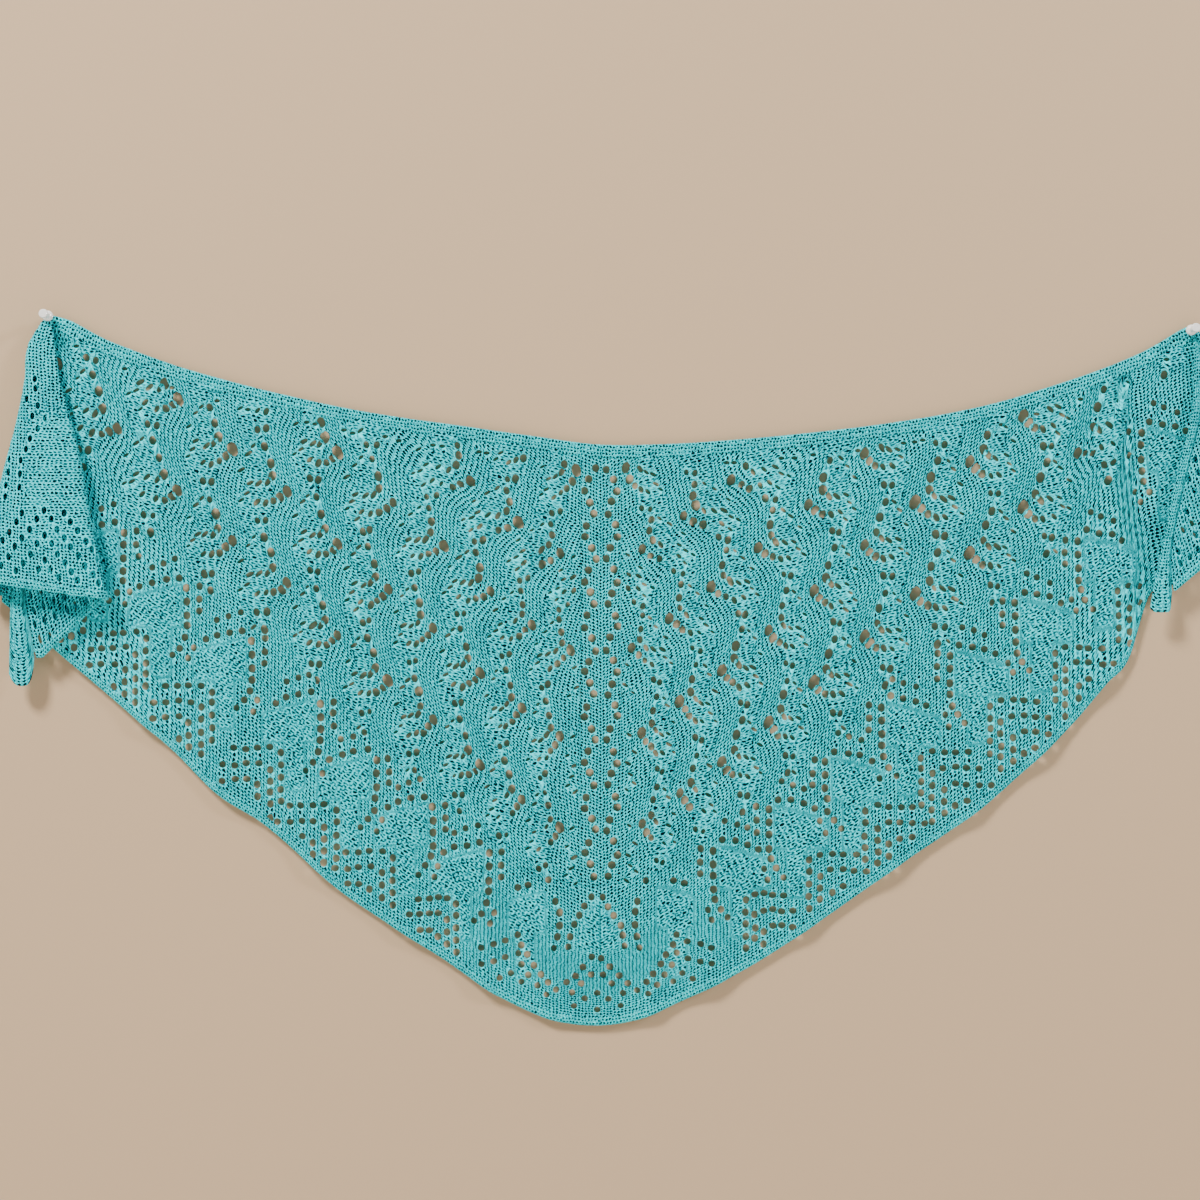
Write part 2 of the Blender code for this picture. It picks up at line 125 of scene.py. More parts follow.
def smooth_curve(rows, x_col=0, y_col=1):
    rows = sorted(rows, key=lambda r: r[x_col])
    xs = np.array([r[x_col] for r in rows], float)
    ys = np.array([r[y_col] for r in rows], float)
    step = np.diff(xs)
    rise = np.diff(ys) / step
    slope = np.empty_like(xs)
    slope[0], slope[-1] = rise[0], rise[-1]
    slope[1:-1] = (rise[:-1] * step[1:] + rise[1:] * step[:-1]) / (step[1:] + step[:-1])

    def value(x):
        x = np.clip(np.asarray(x, float), xs[0], xs[-1])
        k = np.clip(np.searchsorted(xs, x) - 1, 0, len(step) - 1)
        h = step[k]
        t = (x - xs[k]) / h
        return ((2 * t**3 - 3 * t**2 + 1) * ys[k] + (t**3 - 2 * t**2 + t) * h * slope[k]
                + (3 * t**2 - 2 * t**3) * ys[k + 1] + (t**3 - t**2) * h * slope[k + 1])
    return value


def smoothstep(t):
    t = np.clip(t, 0.0, 1.0)
    return t * t * (3 - 2 * t)


top_edge, hem_edge = smooth_curve(TOP_EDGE), smooth_curve(HEM)
outer_l, inner_l = smooth_curve(LEFT_TAIL, 0, 1), smooth_curve(LEFT_TAIL, 0, 2)
band_l_left, band_l_right = smooth_curve(LEFT_TAIL, 0, 3), smooth_curve(LEFT_TAIL, 0, 4)
mid_l, front_l = smooth_curve(LEFT_TAIL, 0, 5), smooth_curve(LEFT_TAIL, 0, 6)
outer_r = smooth_curve(RIGHT_TAIL, 0, 1)
band_r_left, band_r_right = smooth_curve(RIGHT_TAIL, 0, 2), smooth_curve(RIGHT_TAIL, 0, 3)
front_r = smooth_curve(RIGHT_TAIL, 0, 4)


def side_l(z):
    return outer_l(z) + (Y_BACK - front_l(z)) / 2


def side_r(z):
    return outer_r(z) - (Y_BACK - front_r(z)) / 2


def main_x(c, z):
    share_l = smoothstep((SIDE_L0 + FAN - c) / FAN)
    share_r = smoothstep((c - SIDE_R0 + FAN) / FAN)
    return c + share_l * (side_l(z) - SIDE_L0) + share_r * (side_r(z) - SIDE_R0)


def main_hem(c):
    c = np.asarray(c, float)
    low, high = np.full(c.shape, -760.0), np.full(c.shape, -150.0)
    for _ in range(40):
        mid = (low + high) / 2
        over = mid > hem_edge(main_x(c, mid))
        high, low = np.where(over, mid, high), np.where(over, low, mid)
    return (low + high) / 2


def band_drop(c):
    slope = (top_edge(c + 2) - top_edge(c - 2)) / 4
    return BAND_W * np.sqrt(1 + slope**2)


def drape_y(x, z, c, hem):
    top = top_edge(c)
    down = np.clip((top - z) / np.maximum(top - hem, 1.0), 0.0, 1.0)
    out = np.zeros_like(x)
    for x_top, x_hem, half, height in DRAPE:
        centre = x_top + (x_hem - x_top) * down
        out += height * (0.12 + 0.88 * down) * np.exp(-((x - centre) / half) ** 2)
    from_side = np.minimum(x - side_l(z), side_r(z) - x)
    return Y_BACK - out * smoothstep((from_side - FLAT_SIDE) / FLAT_SIDE)

# ------------------------------------------------------------------ lattices


class Cloth:
    """A knitted cloth as a lattice of points, with eyelets opened in it.

    flat: (ni, nj, 2) resting places, keep: (ni-1, nj-1) cells that exist."""

    def __init__(self, flat, keep):
        self.flat = flat
        self.keep = keep.copy()
        self.ni, self.nj = flat.shape[:2]
        self.fixed = np.zeros((self.ni, self.nj), bool)
        self.goal = np.zeros((self.ni, self.nj, 2))
        self.count = np.zeros((self.ni, self.nj))
        self.rim = np.zeros((self.ni, self.nj))
        self.holes = []

    def hole(self, ci, cj, wide, high, tilt=0.0, shift=(0.0, 0.0)):
        """Open an eyelet of half sizes wide and high at a lattice point."""
        ci, cj = int(round(ci)), int(round(cj))
        if ci < 2 or cj < 3 or ci > self.ni - 3 or cj > self.nj - 4:
            return False
        if not self.keep[ci - 2:ci + 2, cj - 3:cj + 3].all():
            return False
        for oi, oj in self.holes:
            if abs(oi - ci) < 3 and abs(oj - cj) < 5:
                return False
        self.holes.append((ci, cj))
        self.keep[ci - 1:ci + 1, cj - 2:cj + 2] = False
        centre = self.flat[ci, cj] + np.array(shift)
        ca, sa = math.cos(tilt), math.sin(tilt)
        for di in (-1, 0, 1):
            for dj in (-2, -1, 0, 1, 2):
                if abs(di) != 1 and abs(dj) != 2:
                    continue
                phi = math.atan2(dj / 2, di)
                if abs(di) == 1 and abs(dj) == 2:
                    pass
                ex, ez = wide * math.cos(phi), high * math.sin(phi)
                spot = centre + np.array((ex * ca - ez * sa, ex * sa + ez * ca))
                i, j = ci + di, cj + dj
                self.goal[i, j] += spot - self.flat[i, j]
                self.count[i, j] += 1
                self.fixed[i, j] = True
                self.rim[i, j] = 1.0
        return True

    def settle(self, hold, rounds=70, slack=0.972):
        """Push the stitches round the eyelets aside, evenly and smoothly."""
        d = np.zeros_like(self.goal)
        seen = self.count > 0
        d[seen] = self.goal[seen] / self.count[seen][:, None]
        pinned = d.copy()
        for _ in range(rounds):
            e = np.pad(d, ((1, 1), (1, 1), (0, 0)), mode="edge")
            d = slack * 0.25 * (e[2:, 1:-1] + e[:-2, 1:-1] + e[1:-1, 2:] + e[1:-1, :-2])
            d[seen] = pinned[seen]
            d[hold] = 0.0
        rim = self.rim.copy()
        for _ in range(2):
            e = np.pad(rim, 1, mode="edge")
            near = 0.25 * (e[2:, 1:-1] + e[:-2, 1:-1] + e[1:-1, 2:] + e[1:-1, :-2])
            rim = np.maximum(rim, near * 0.9)
        self.rim_soft = rim
        self.place = self.flat + d
        return self.place


def grid_normals(p):
    a = np.gradient(p, axis=0)
    b = np.gradient(p, axis=1)
    n = np.cross(a, b)
    length = np.linalg.norm(n, axis=2, keepdims=True)
    return n / np.maximum(length, 1e-9)


def shell(name, front, back, keep, uv, alt, marks):
    """A closed thin shell from two grids of points over the kept cells."""
    ni, nj = front.shape[:2]
    idx = np.arange(ni * nj).reshape(ni, nj)
    corners = [front[:-1, :-1], front[1:, :-1], front[1:, 1:], front[:-1, 1:]]
    d1, d2 = corners[2] - corners[0], corners[3] - corners[1]
    area = np.linalg.norm(np.cross(d1, d2), axis=2)
    keep = keep & (area > 2e-2)
    ki, kj = np.nonzero(keep)
    f = np.stack([idx[ki, kj], idx[ki + 1, kj], idx[ki + 1, kj + 1], idx[ki, kj + 1]], 1)
    total = ni * nj
    b = f[:, ::-1] + total
    pad = np.pad(keep, 1)
    rims = []
    sides = (  # neighbour offset, the two corners of the shared edge
        ((0, -1), (0, 0), (1, 0)), ((1, 0), (1, 0), (1, 1)),
        ((0, 1), (1, 1), (0, 1)), ((-1, 0), (0, 1), (0, 0)),
    )
    for (oi, oj), p, q in sides:
        open_side = ~pad[ki + 1 + oi, kj + 1 + oj]
        i, j = ki[open_side], kj[open_side]
        a0, a1 = idx[i + p[0], j + p[1]], idx[i + q[0], j + q[1]]
        rims.append(np.stack([a1, a0, a0 + total, a1 + total], 1))
    faces = np.concatenate([f, b, *rims])
    verts = np.concatenate([front.reshape(-1, 3), back.reshape(-1, 3)]) * MM
    used = np.unique(faces)
    remap = np.full(len(verts), -1)
    remap[used] = np.arange(len(used))
    faces = remap[faces]
    mesh = bpy.data.meshes.new(name)
    mesh.vertices.add(len(used))
    mesh.vertices.foreach_set("co", verts[used].ravel())
    mesh.loops.add(faces.size)
    mesh.loops.foreach_set("vertex_index", faces.ravel().astype(np.int32))
    mesh.polygons.add(len(faces))
    mesh.polygons.foreach_set("loop_start", np.arange(0, faces.size, 4, dtype=np.int32))
    mesh.polygons.foreach_set("use_smooth", np.ones(len(faces), bool))
    mesh.update(calc_edges=True)
    source = used % total
    for label, data in (("UVMap", uv), ("Turned", alt)):
        layer = mesh.uv_layers.new(name=label)
        layer.data.foreach_set("uv", data.reshape(-1, 2)[source][faces.ravel()].ravel())
    for label, data in marks.items():
        attr = mesh.attributes.new(label, "FLOAT", "POINT")
        attr.data.foreach_set("value", data.ravel()[source].astype(np.float32))
    mesh.validate()
    ob = bpy.data.objects.new(name, mesh)
    bpy.context.scene.collection.objects.link(ob)
    ob["tris"] = int(2 * len(faces))
    return ob

# ------------------------------------------------------------------ main cloth
PX = 1.05                # mm for each step of the photo's own measure


def columns_about(centre, low, high):
    n_low = math.ceil((centre - low) / CELL_X)
    n_high = math.ceil((high - centre) / CELL_X)
    c = centre + CELL_X * np.arange(-n_low, n_high + 1)
    return np.clip(c, low, high), n_low


cols, SPINE_I = columns_about(SPINE_X, SIDE_L0, SIDE_R0)
hem = main_hem(cols)
NI = len(cols)
band_line = top_edge(cols) - band_drop(cols)
NJ = int((band_line - hem).max() / CELL_Z) + 6


SAG = (  # distance from the spine, how far the rows dip under the hem's blunt line
    (0.0, 76.0), (42.0, 62.0), (79.0, 48.0), (126.0, 35.0), (168.0, 23.0), (223.0, 11.0), (276.0, 0.0), (700.0, 0.0),
)
sag_at = smooth_curve(SAG)
EDGE_I = 11              # lattice columns from the spine's middle to its edge
EDGE_X = EDGE_I * CELL_X
LEAN_FROM, LEAN_RISE, LEAN_SHIFT = 362.0, 187.0, 38.0

CORNERS = (  # each border leaf's upper inner corner: out from the spine, height above the hem
    (54.0, 145.0), (116.0, 156.0), (172.0, 165.0), (229.0, 175.0), (284.0, 191.0),
    (353.0, 196.0), (418.0, 196.0), (481.0, 196.0), (545.0, 196.0),
)
rise_at = smooth_curve(tuple((o * PX, r) for o, r in CORNERS) + ((0.0, 140.0), (720.0, 196.0)))

W0 = 6.0
REPEAT_H = 47.75         # lattice rows in a repeat down
PHASE_H = 76.0           # height of the lowest row of large eyelets above the rows' V
WAVE = 4.4               # how far the ribs swing in and out between the leaves
w_rows = W0 + CELL_Z * np.arange(NJ + 40)
NJ = len(w_rows)
I2, J2 = np.meshgrid(np.arange(NI), np.arange(NJ), indexing="ij")

# the wales lean in towards the spine as they go up, and the inmost ones end at it
away = np.abs(cols - SPINE_X)[:, None]
t_lean = np.clip((w_rows - LEAN_FROM) / LEAN_RISE, 0, 1.25)[None, :]
lean = LEAN_SHIFT * t_lean ** 1.85 * smoothstep((285.0 - away) / 110.0)
held_away = np.where(away > EDGE_X + 0.1, np.maximum(away - lean, EDGE_X), away)
# and the ribs swing in and out round the leaves
above_border = w_rows[None, :] - sag_at(away) - rise_at(away)
swing = (-WAVE * np.cos(2 * np.pi * (w_rows - PHASE_H) / (REPEAT_H * CELL_Z))[None, :]
         * smoothstep(above_border / 40.0) * smoothstep((held_away - EDGE_X - 1.0) / 45.0)
         * smoothstep((np.where(cols < SPINE_X, cols - SIDE_L0, SIDE_R0 - cols)[:, None] - 4.0) / 60.0))
held_away = held_away + swing
C2 = SPINE_X + np.sign(cols - SPINE_X)[:, None] * held_away
C2 = np.where((lean < 1e-6) & (np.abs(swing) < 1e-6), cols[:, None], C2)
HEM2 = main_hem(C2)
Z2 = HEM2 + w_rows[None, :] - smoothstep(w_rows / 170.0)[None, :] * sag_at(np.abs(C2 - SPINE_X))
LIMIT2 = top_edge(C2) - band_drop(C2) + 4.0
over = Z2 > LIMIT2
Z2 = np.minimum(Z2, LIMIT2)
X2 = main_x(C2, Z2)
flat = np.stack([X2, Z2], 2)
keep = ~(over[:-1, :-1] & over[1:, :-1])


def cell_area(p):
    d1, d2 = p[1:, 1:] - p[:-1, :-1], p[:-1, 1:] - p[1:, :-1]
    return np.abs(d1[..., 0] * d2[..., 1] - d1[..., 1] * d2[..., 0]) / 2


cells = cell_area(flat)
keep &= cells > 0.25 * CELL_X * CELL_Z
cloth = Cloth(flat, keep)


def at_column(x, z):
    """Lattice column and row nearest to a place on the wall."""
    j = NJ // 2
    for _ in range(4):
        i = int(round(np.interp(x, X2[:, j], np.arange(NI))))
        j_exact = np.interp(z, Z2[i], np.arange(NJ))
        j = int(round(j_exact))
    return i, j_exact


def local(steps_out, side, i0):
    """Column a number of wales outwards from the column i0."""
    return i0 + side * steps_out * WALE / CELL_X


# One repeat of the leaf lace, in wales outwards and rows up from its largest eyelet.
LEAF_EYELETS = (  # wales out, rows up, half width, half height, tilt
    (0.0, 0.0, 5.0, 7.6, 16.0), (1.7, -4.1, 4.1, 5.6, 14.0), (3.4, -7.5, 3.9, 4.9, 0.0),
    (5.6, -10.4, 3.6, 4.2, -25.0), (8.2, -12.6, 3.0, 3.9, -45.0),
    (8.0, 12.0, 3.3, 4.4, 20.0), (6.4, 8.2, 3.6, 4.9, 20.0), (4.7, 4.6, 4.1, 5.6, 14.0),
    (4.0, 0.6, 4.2, 5.6, -4.0), (5.2, -3.0, 3.6, 4.9, -30.0), (7.5, -5.9, 3.0, 4.6, -50.0),
    (10.1, -8.2, 2.7, 4.3, -62.0),
    (5.8, -16.4, 3.5, 4.5, -8.0), (6.6, -20.4, 3.1, 4.2, -20.0),
    (11.0, -12.0, 2.3, 4.0, -62.0), (12.4, -5.5, 2.2, 3.8, -60.0), (9.4, -16.4, 2.2, 3.8, -52.0),
    (10.4, 1.6, 2.3, 3.8, -58.0), (9.0, 5.8, 2.2, 3.4, -50.0), (12.6, -15.6, 2.1, 3.4, -60.0),
)
FIRST_COLUMNS = (  # lattice columns from the spine's middle to each large eyelet
    -1.0, 22.7, 43.7, 66.9, 92.8, 117.2, 145.3, 173.5, 203.9, 233.2, 263.0, 293.0, 323.0,
)


def leaf_lace(side):
    for n in range(len(FIRST_COLUMNS) - 1):
        tight = (FIRST_COLUMNS[n + 1] - FIRST_COLUMNS[n]) / 30.0
        i0 = SPINE_I + side * FIRST_COLUMNS[n]
        for k in range(0, 8):
            j0 = (PHASE_H - W0) / CELL_Z + REPEAT_H * k
            for out, up, wide, high, tilt in LEAF_EYELETS:
                i = local(out * tight, side, i0)
                j = j0 + up * ROW / CELL_Z
                at = min(max(int(round(i)), 0), NI - 1), min(max(int(round(j)), 0), NJ - 1)
                i -= side * float(swing[at]) / CELL_X
                ii = int(round(i))
                if not 3 < ii < NI - 4 or abs(ii - SPINE_I) < EDGE_I + 3:
                    continue
                if not in_body(ii, j):
                    continue
                if abs(tilt) >= 25.0:
                    wide, high = 0.82 * wide, 1.08 * high
                size = (1.07 + 0.10 * rng.standard_normal()) * min(1.0, tight) ** 0.6
                cloth.hole(i, j, wide * size, high * size, math.radians(-side * tilt),
                           rng.normal(0, 0.3, 2))


def in_body(i, j):
    j = int(round(j))
    if not 0 <= j < NJ or over[i, j]:
        return False
    rise = float(rise_at(abs(C2[i, j] - SPINE_X))) + 4.0
    return Z2[i, j] - HEM2[i, j] > rise and Z2[i, j] < LIMIT2[i, j] - 10.0


# One repeat of the border, from a leaf's upper inner corner.
LEAF_TOP = (  # out from the spine, down, half width, half height
    (5, 3, 4.0, 4.4), (18, 5, 4.1, 4.2), (30, 8, 4.1, 4.2), (42, 13, 4.0, 4.2),
    (8, -15, 3.6, 4.0), (19, -11, 3.6, 4.0), (31, -7, 3.6, 4.0),
)
LEAF_SIDE = (
    (-4, 14, 4.0, 5.0), (-4, 27, 4.1, 5.0), (-4, 40, 4.1, 5.0), (-3, 52, 4.1, 4.9),
    (-2, 63, 4.0, 4.6), (4, 73, 3.9, 4.3), (11, 81, 3.6, 4.0),
    (-16, 12, 3.8, 4.6), (-17, 25, 3.8, 4.6), (-17, 37, 3.7, 4.4),
    (-10, 73, 3.4, 4.2), (-5, 84, 3.5, 4.2),
)
MESH_RUNS = (  # corner out, corner down, eyelets outwards, eyelets down
    (38, 55, 4, 5), (49, 71, 4, 5), (61, 87, 4, 4), (72, 103, 3, 3), (84, 118, 2, 2),
)


def open_at(x, z, wide, high, margin=13.0):
    if not -640 < x < 640 or z < float(hem_edge(x)) + margin or z > float(top_edge(x)) - 24.0:
        return
    i, j = at_column(x, z)
    cloth.hole(i, j, wide, high, 0.0, rng.normal(0, 0.3, 2))


def border(side):
    """Leaves and nested square-cornered runs of eyelets above the hem."""
    for n, (out0, rise) in enumerate(CORNERS):
        x = SPINE_X + side * out0 * PX
        if not -640 < x < 640:
            continue
        z = float(hem_edge(x)) + rise
        spots = list(LEAF_TOP if n else LEAF_TOP[1:3])
        if n:
            spots += list(LEAF_SIDE)
            shrink = 0.8 if n == 1 else 1.0
            for co, cd, across, down in MESH_RUNS:
                spots += [((co + 12 * k + 9) * shrink, cd + 3 + (k > 1), 4.2, 3.9) for k in range(across)]
                spots += [((co - 2) * shrink, cd + 12 * k + 9, 3.8, 4.6) for k in range(down)]
        for out, down, wide, high in spots:
            open_at(x + side * out * PX, z - down * PX, wide, high)


SPINE_RUN = (  # half spacing of the eyelet pair, half width, half height
    (6.2, 4.0, 4.7), (12.5, 4.2, 4.7), (17.0, 4.4, 4.7), (10.5, 4.5, 4.8),
    (7.0, 4.2, 4.7), (14.0, 4.2, 4.7), (17.0, 4.4, 4.6), (9.5, 4.4, 4.8),
)


def spine():
    z = float(top_edge(SPINE_X)) - 25.0
    k = 0
    while z > -583.0:
        half, wide, high = SPINE_RUN[k % 8]
        for side in (-1, 1):
            i, j = at_column(SPINE_X + side * half * PX, z + rng.normal(0, 0.5))
            cloth.hole(i, j, wide, high, 0.0, rng.normal(0, 0.3, 2))
        z -= 11.9
        k += 1


APEX = (-24.2, -592.2)   # the top of the leaf under the spine
APEX_EYELETS = (  # out, down from there, half width, half height
    (5, 8, 3.6, 4.4), (11.5, 17, 3.8, 4.4), (17.5, 26, 3.8, 4.6), (23, 36, 3.8, 4.6), (26.5, 47, 3.8, 4.6), (28, 58, 3.5, 4.2),
    (49, -9, 3.6, 4.4), (45.5, 1, 3.8, 4.6), (41, 12, 3.8, 4.8), (38.5, 24, 4.0, 5.0), (38.5, 36, 4.0, 5.0),
    (39.5, 48, 3.9, 4.7), (42.5, 59, 3.4, 4.0),
    (4.8, 69, 3.7, 4.2), (13.5, 78, 4.0, 4.2), (22, 87, 4.0, 4.2), (31, 94, 3.8, 4.0),
    (5.5, 86, 3.8, 4.0), (15, 95, 3.8, 4.0), (25, 104, 3.7, 3.8),
    (0, 104, 3.9, 3.8), (12, 110, 3.8, 3.7), (0, 120, 3.8, 3.5), (23, 117, 3.6, 3.4),
    (80, 46, 3.8, 4.2), (75.5, 56, 3.9, 4.4), (69.5, 66, 3.9, 4.4), (63.5, 76, 3.9, 4.4), (56.5, 85, 3.9, 4.3), (49, 93, 3.8, 4.1),
    (41, 101, 3.6, 3.8), (80, 64, 3.5, 4.0), (75, 76, 3.8, 4.2), (68, 86, 3.8, 4.2), (60, 96, 3.7, 4.0), (51, 105, 3.5, 3.6),
    (91, 52, 4.0, 3.9), (103, 55, 4.0, 3.9), (115, 58, 4.0, 3.9), (91, 69, 3.9, 3.8), (103, 72, 3.9, 3.8), (115, 75, 3.8, 3.7),
    (86, 84, 3.7, 3.8), (97, 89, 3.7, 3.6), (76, 93, 3.5, 3.6),
)


def apex():
    for out, down, wide, high in APEX_EYELETS:
        for side in ((-1, 1) if out else (1,)):
            open_at(APEX[0] + side * out * PX, APEX[1] - down * PX, wide, high, 12.0)


def under_band():
    """A broken row of slits along the top band."""
    x = -570.0
    while x < 575.0:
        if abs(x - SPINE_X) > 30.0:
            z = float(top_edge(x) - band_drop(x)) - 9.0 + rng.normal(0, 1.2)
            for k in range(int(rng.integers(1, 4))):
                xx = x + 9.5 * k
                i, j = at_column(xx, float(top_edge(xx) - band_drop(xx)) - 9.5)
                cloth.hole(i, j, 3.4, 2.2, 0.0, rng.normal(0, 0.3, 2))
        x += 38.0 + 16.0 * rng.random()


spine()
apex()
border(-1)
border(+1)
leaf_lace(-1)
leaf_lace(+1)
under_band()

hold = np.zeros((NI, NJ), bool)
hold[0] = hold[-1] = True
hold[:, 0] = True
hold |= over
place = cloth.settle(hold)

# wale and row coordinates, in stitches
U2 = (I2 - SPINE_I) * CELL_X / WALE
V2 = w_rows[J2] / ROW

# masks: where the stitches lean over into the leaves, and the bulge of each leaf
phase_i = np.interp(np.abs(I2 - SPINE_I), FIRST_COLUMNS, np.arange(len(FIRST_COLUMNS)))
phase_w = (w_rows[J2] - PHASE_H) / (REPEAT_H * CELL_Z)
s_out = (phase_i % 1.0) * 15.0
body_zone = smoothstep((Z2 - HEM2 - rise_at(np.abs(C2 - SPINE_X)) + 4.0) / 12.0)
beside = smoothstep((np.abs(C2 - SPINE_X) - 30.0) / 10.0)
leaf_mid = 8.2 + 1.1 * np.sin(2 * np.pi * (phase_w + 0.05))
leaf_half = 3.6 + 0.7 * np.cos(2 * np.pi * (phase_w + 0.45))
leaf_mask = smoothstep((leaf_half - np.abs(s_out - leaf_mid)) / 1.3 + 0.5)
leaf_mask = leaf_mask * body_zone * beside

ridge = np.where((I2 - SPINE_I) % 2 == 0, 1.0, -1.0)
ripple = np.where(J2 % 2 == 0, 1.0, -1.0)


def border_leaf_mask():
    """1 inside the plain leaves of the border, which lean with their stitches."""
    out = np.zeros((NI, NJ))
    for side in (-1, 1):
        for n, (out0, rise) in enumerate(CORNERS):
            x = SPINE_X + side * out0 * PX
            if not -660 < x < 660:
                continue
            z = float(hem_edge(x)) + rise
            o = side * (X2 - x) / PX
            d = (z - Z2) / PX
            end = 46.0 if n else 30.0
            upper = (smoothstep((o + 1.0) / 5.0) * smoothstep((end + 14.0 - o) / 12.0)
                     * smoothstep((d - 7.0 - 0.28 * o) / 5.0) * smoothstep((56.0 - d) / 8.0))
            lower = (smoothstep((o - 10.0) / 6.0) * smoothstep((35.0 - o) / 5.0)
                     * smoothstep((d - 46.0) / 8.0) * smoothstep((106.0 - d) / 10.0))
            out = np.maximum(out, np.maximum(upper, lower))
    middle = np.abs(X2 - APEX[0]) / PX
    down = (APEX[1] - Z2) / PX
    centre = smoothstep((0.6 * down - 2.0 - middle) / 4.0) * smoothstep((24.0 - middle) / 4.0)
    out = np.maximum(out, centre * smoothstep(down / 5.0) * smoothstep((66.0 - down) / 8.0))
    return out


leaf_border = border_leaf_mask() * (1 - body_zone)
MASK_LEAF = np.maximum(leaf_mask, leaf_border)



def soften(field, rounds):
    for _ in range(rounds):
        e = np.pad(field, 1, mode="edge")
        field = 0.2 * (field + e[2:, 1:-1] + e[:-2, 1:-1] + e[1:-1, 2:] + e[1:-1, :-2])
    return field


swell = np.cos(np.pi / 2 * np.clip(np.abs(s_out - leaf_mid) / 4.6, 0, 1))
ribbing = np.exp(-((((s_out + 7.5) % 15.0) - 8.2) / 2.4) ** 2) * body_zone * beside
relief = (0.24 * ridge * (1 - 0.8 * leaf_mask) * (1 - 0.6 * leaf_border)
          + 0.34 * ripple * leaf_mask
          + 2.0 * leaf_mask * swell + 0.7 * ribbing
          + soften(1.1 * leaf_border, 14))
relief = relief * (1 - 0.55 * cloth.rim_soft) + 0.5 * cloth.rim_soft
relief = relief + rng.normal(0, 0.13, (NI, NJ))

Y2 = drape_y(place[..., 0], place[..., 1], C2, HEM2)
mid = np.stack([place[..., 0], Y2, place[..., 1]], 2)
normal = grid_normals(mid)
if normal[NI // 2, NJ // 3, 1] > 0:
    normal = -normal
front = mid + normal * (CLOTH_T / 2 + relief)[..., None]
back = front - normal * (CLOTH_T + 0.3 * ridge + 0.15 * ripple)[..., None]
back[..., 1] = np.minimum(back[..., 1], -0.8)

UV = np.stack([U2, V2], 2)
side_sign = np.where(I2 < SPINE_I, -1.0, 1.0)
ALT = np.stack([(Z2 - 0.22 * side_sign * X2) / 2.9, X2 / 5.6], 2)
ang = math.radians(31)
leaning = np.stack([(X2 * math.cos(ang) + side_sign * Z2 * math.sin(ang)) / WALE,
                    (-side_sign * X2 * math.sin(ang) + Z2 * math.cos(ang)) / ROW], 2)
far_from_middle = np.abs(X2 - APEX[0]) > 30.0
UV = np.where(((leaf_border > 0.4) & far_from_middle)[..., None], leaning, UV)
turned = np.stack([(-side_sign * X2 * math.sin(ang) + Z2 * math.cos(ang)) / 2.9,
                   (X2 * math.cos(ang) + side_sign * Z2 * math.sin(ang)) / 5.6], 2)
ALT = np.where((leaf_border > 0.4)[..., None], turned, ALT)
MASK = soften(np.maximum(0.8 * leaf_mask, 0.7 * (leaf_border > 0.4)), 2)
# The leaf zones' yarn is painted lighter than the ribs': painted light.
LEAF_PAINTED_LIGHT = soften(leaf_border + 0.7 * leaf_mask, 3)
# the plain strand round each border leaf, where its stitches turn; with each eyelet's rim it is painted lighter and
# with fewer dark gaps, a painted highlight
inside = np.pad(leaf_border > 0.4, 1, mode="edge")
turn = ((inside[2:, 1:-1] != inside[:-2, 1:-1]) | (inside[1:-1, 2:] != inside[1:-1, :-2])
        | (inside[2:, 2:] != inside[:-2, :-2]) | (inside[2:, :-2] != inside[:-2, 2:]))
RIM = np.maximum(cloth.rim_soft, 0.45 * turn)
marks = {"leaf": MASK, "rim": RIM, "leaf_painted_light": LEAF_PAINTED_LIGHT}

w_cell = w_rows[:-1][None, :] + 0 * cols[:-1][:, None]
height_cell = (Z2 - HEM2)[:-1, :-1]
in_border = height_cell < BORDER_H
near_spine = (np.abs(np.arange(NI - 1) + 0.5 - SPINE_I) < EDGE_I)[:, None] & ~in_border
is_left = (cols[:-1] < SPINE_X - 0.1)[:, None]


whole = ~(over[:-1, :-1] & over[1:, :-1])
pieces = {}
for name, zone in (
    ("body_left", ~in_border & ~near_spine & is_left),
    ("body_right", ~in_border & ~near_spine & ~is_left),
    ("spine", near_spine),
    ("border_left", in_border & is_left),
    ("border_right", in_border & ~is_left),
):
    pieces[name] = shell(name, front, back, cloth.keep & zone, UV, ALT, marks)
    print("flat", name, round(float(cells[zone & whole].sum()) * 1e-6, 4))

# ------------------------------------------------------------------ bands and hem edges


def strip_piece(name, grid, thickness, ridges, knots, wales, flip=None, relief=0.60):
    """Closed strip: grid (na, nb, 3), ridges along it, knots across it."""
    na, nb = grid.shape[:2]
    n = grid_normals(grid)
    if flip is None:
        if np.median(n[..., 1]) > 0:
            n = -n
    elif flip:
        n = -n
    f = np.linspace(0, 1, nb)[None, :]
    a = np.arange(na)[:, None]
    round_off = np.sqrt(np.clip(1 - (2 * f - 1) ** 4, 0.0, 1))
    wave = 0.5 + 0.5 * np.cos(2 * np.pi * (f * ridges + 0.5 + 0.10 * np.sin(a * 0.23) + 0.07 * np.sin(a * 0.61)))
    bump = 0.5 + 0.5 * np.cos(np.pi * a + 0 * f) * np.where(knots, 1.0, 0.4)
    h = thickness / 2 * round_off + relief * wave * round_off + 0.30 * bump * round_off
    h = h + rng.normal(0, 0.10, h.shape)
    front = grid + n * h[..., None]
    back = grid - n * (0.8 * thickness / 2 * round_off + 0.35 * wave * round_off)[..., None]
    along = np.concatenate([[0], np.cumsum(np.linalg.norm(np.diff(grid[:, nb // 2], axis=0), axis=1))])
    uv = np.stack([np.broadcast_to(f * wales, (na, nb)), np.broadcast_to(along[:, None] / ROW, (na, nb))], 2)
    zero = np.zeros((na, nb))
    keep = np.ones((na - 1, nb - 1), bool)
    return shell(name, front, back, keep, uv, uv[..., ::-1].copy(), {"leaf": zero, "rim": zero, "leaf_painted_light": zero})


